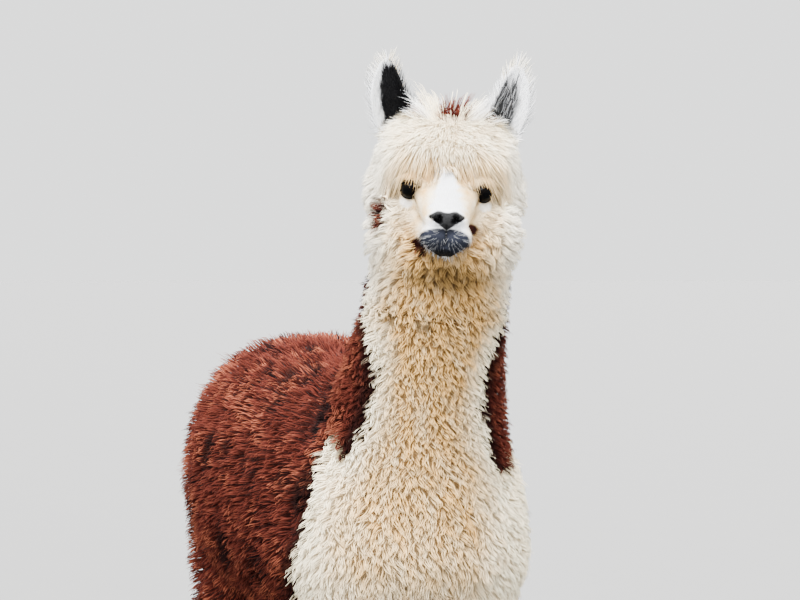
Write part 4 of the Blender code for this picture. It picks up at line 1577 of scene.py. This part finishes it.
def studio_air(studio, colours):
    """Soft light from all round, stronger overhead."""
    world = bpy.data.worlds.new("studio air")
    world.use_nodes = True
    air = Finish("air", world.node_tree)
    height = air.add("ShaderNodeSeparateXYZ", None, {0: air.direction()}).outputs["Z"]
    overhead = Wire(air, height).eased(0.05, 0.95)
    colour = air.mix(overhead, solid(colours.horizon), solid(colours.dome))
    glow = air.add(
        "ShaderNodeBackground", None,
        {"Color": colour, "Strength": studio.air * (1 + (studio.dome - 1) * overhead)},
    )
    output = air.add("ShaderNodeOutputWorld")
    air.tree.links.new(glow.outputs[0], output.inputs["Surface"])
    return world


class ALPACA_OT_stage(bpy.types.Operator):
    """Lays the floor and sets the lights and the camera"""

    bl_idname = "alpaca.stage"
    bl_label = "Stage"

    def execute(self, context):
        studio = context.scene.alpaca_studio
        colours = context.scene.alpaca_colours
        corners = np.array([(-1, -1, 0), (1, -1, 0), (1, 1, 0), (-1, 1, 0)]) * FLOOR_REACH
        mesh = mesh_from(corners, np.array([(0, 1, 2), (0, 2, 3)]), "floor")
        finish = Finish("floor")
        grain = finish.speckle(finish.spot(), 3.0, 4)
        pale = finish.lit(tuple(colours.floor), 0.97 + 0.06 * grain)
        mesh.materials.append(finish.done(Base_Color=pale, Roughness=0.8))
        add_object(mesh, "floor")

        context.scene.world = studio_air(studio, colours)
        for title, source, angle, strength in (
            ("key", (-0.45, -0.55, 0.95), 35, studio.key),
            ("back", (0.50, 0.75, 0.70), 50, studio.back),
        ):
            lamp = bpy.data.lights.new(title, "SUN")
            lamp.energy, lamp.angle = strength, math.radians(angle)
            light = bpy.data.objects.new(title, lamp)
            light.rotation_euler = (-Vector(source)).to_track_quat("-Z", "Y").to_euler()
            context.collection.objects.link(light)

        turn, pitch = studio.turn, studio.pitch
        back = Vector((math.sin(turn), -math.cos(turn), 0))
        right = Vector((math.cos(turn), math.sin(turn), 0))
        lens = bpy.data.cameras.new("camera")
        lens.sensor_width, lens.lens = 36, studio.lens
        camera = bpy.data.objects.new("camera", lens)
        camera.location = HEAD + back * studio.distance - right * studio.aside
        camera.location.z -= studio.below
        gaze = -back * math.cos(pitch) - Vector((0, 0, math.sin(pitch)))
        camera.rotation_mode = "QUATERNION"
        camera.rotation_quaternion = gaze.to_track_quat("-Z", "Y")
        lens.clip_end = 100
        context.collection.objects.link(camera)
        context.scene.camera = camera
        return {"FINISHED"}


OPERATORS = (
    ALPACA_OT_stage, ALPACA_OT_skin, ALPACA_OT_eyes, ALPACA_OT_nails, ALPACA_OT_head_coat,
    ALPACA_OT_neck_coat, ALPACA_OT_body_coat, ALPACA_OT_leg_coat,
)
SETTINGS = {
    "alpaca_wool": AlpacaWool, "alpaca_colours": AlpacaColours, "alpaca_studio": AlpacaStudio,
}


class ALPACA_PT_panel(bpy.types.Panel):
    """Lists the settings and the steps of the alpaca figure"""

    bl_idname = "ALPACA_PT_panel"
    bl_label = "Alpaca"
    bl_space_type = "VIEW_3D"
    bl_region_type = "UI"
    bl_category = "Alpaca"

    def draw(self, context):
        for setting in SETTINGS:
            group = getattr(context.scene, setting)
            for name in group.__annotations__:
                self.layout.prop(group, name)
        for operator in OPERATORS:
            self.layout.operator(operator.bl_idname)


def register():
    for kind in (*SETTINGS.values(), *OPERATORS, ALPACA_PT_panel):
        bpy.utils.register_class(kind)
    for setting, kind in SETTINGS.items():
        setattr(bpy.types.Scene, setting, PointerProperty(type=kind))


def unregister():
    for setting in SETTINGS:
        delattr(bpy.types.Scene, setting)
    for kind in (ALPACA_PT_panel, *reversed(OPERATORS), *SETTINGS.values()):
        bpy.utils.unregister_class(kind)


def main():
    register()
    for operator in OPERATORS:
        getattr(bpy.ops.alpaca, operator.bl_idname.split(".")[1])()


if __name__ == "__main__":
    main()
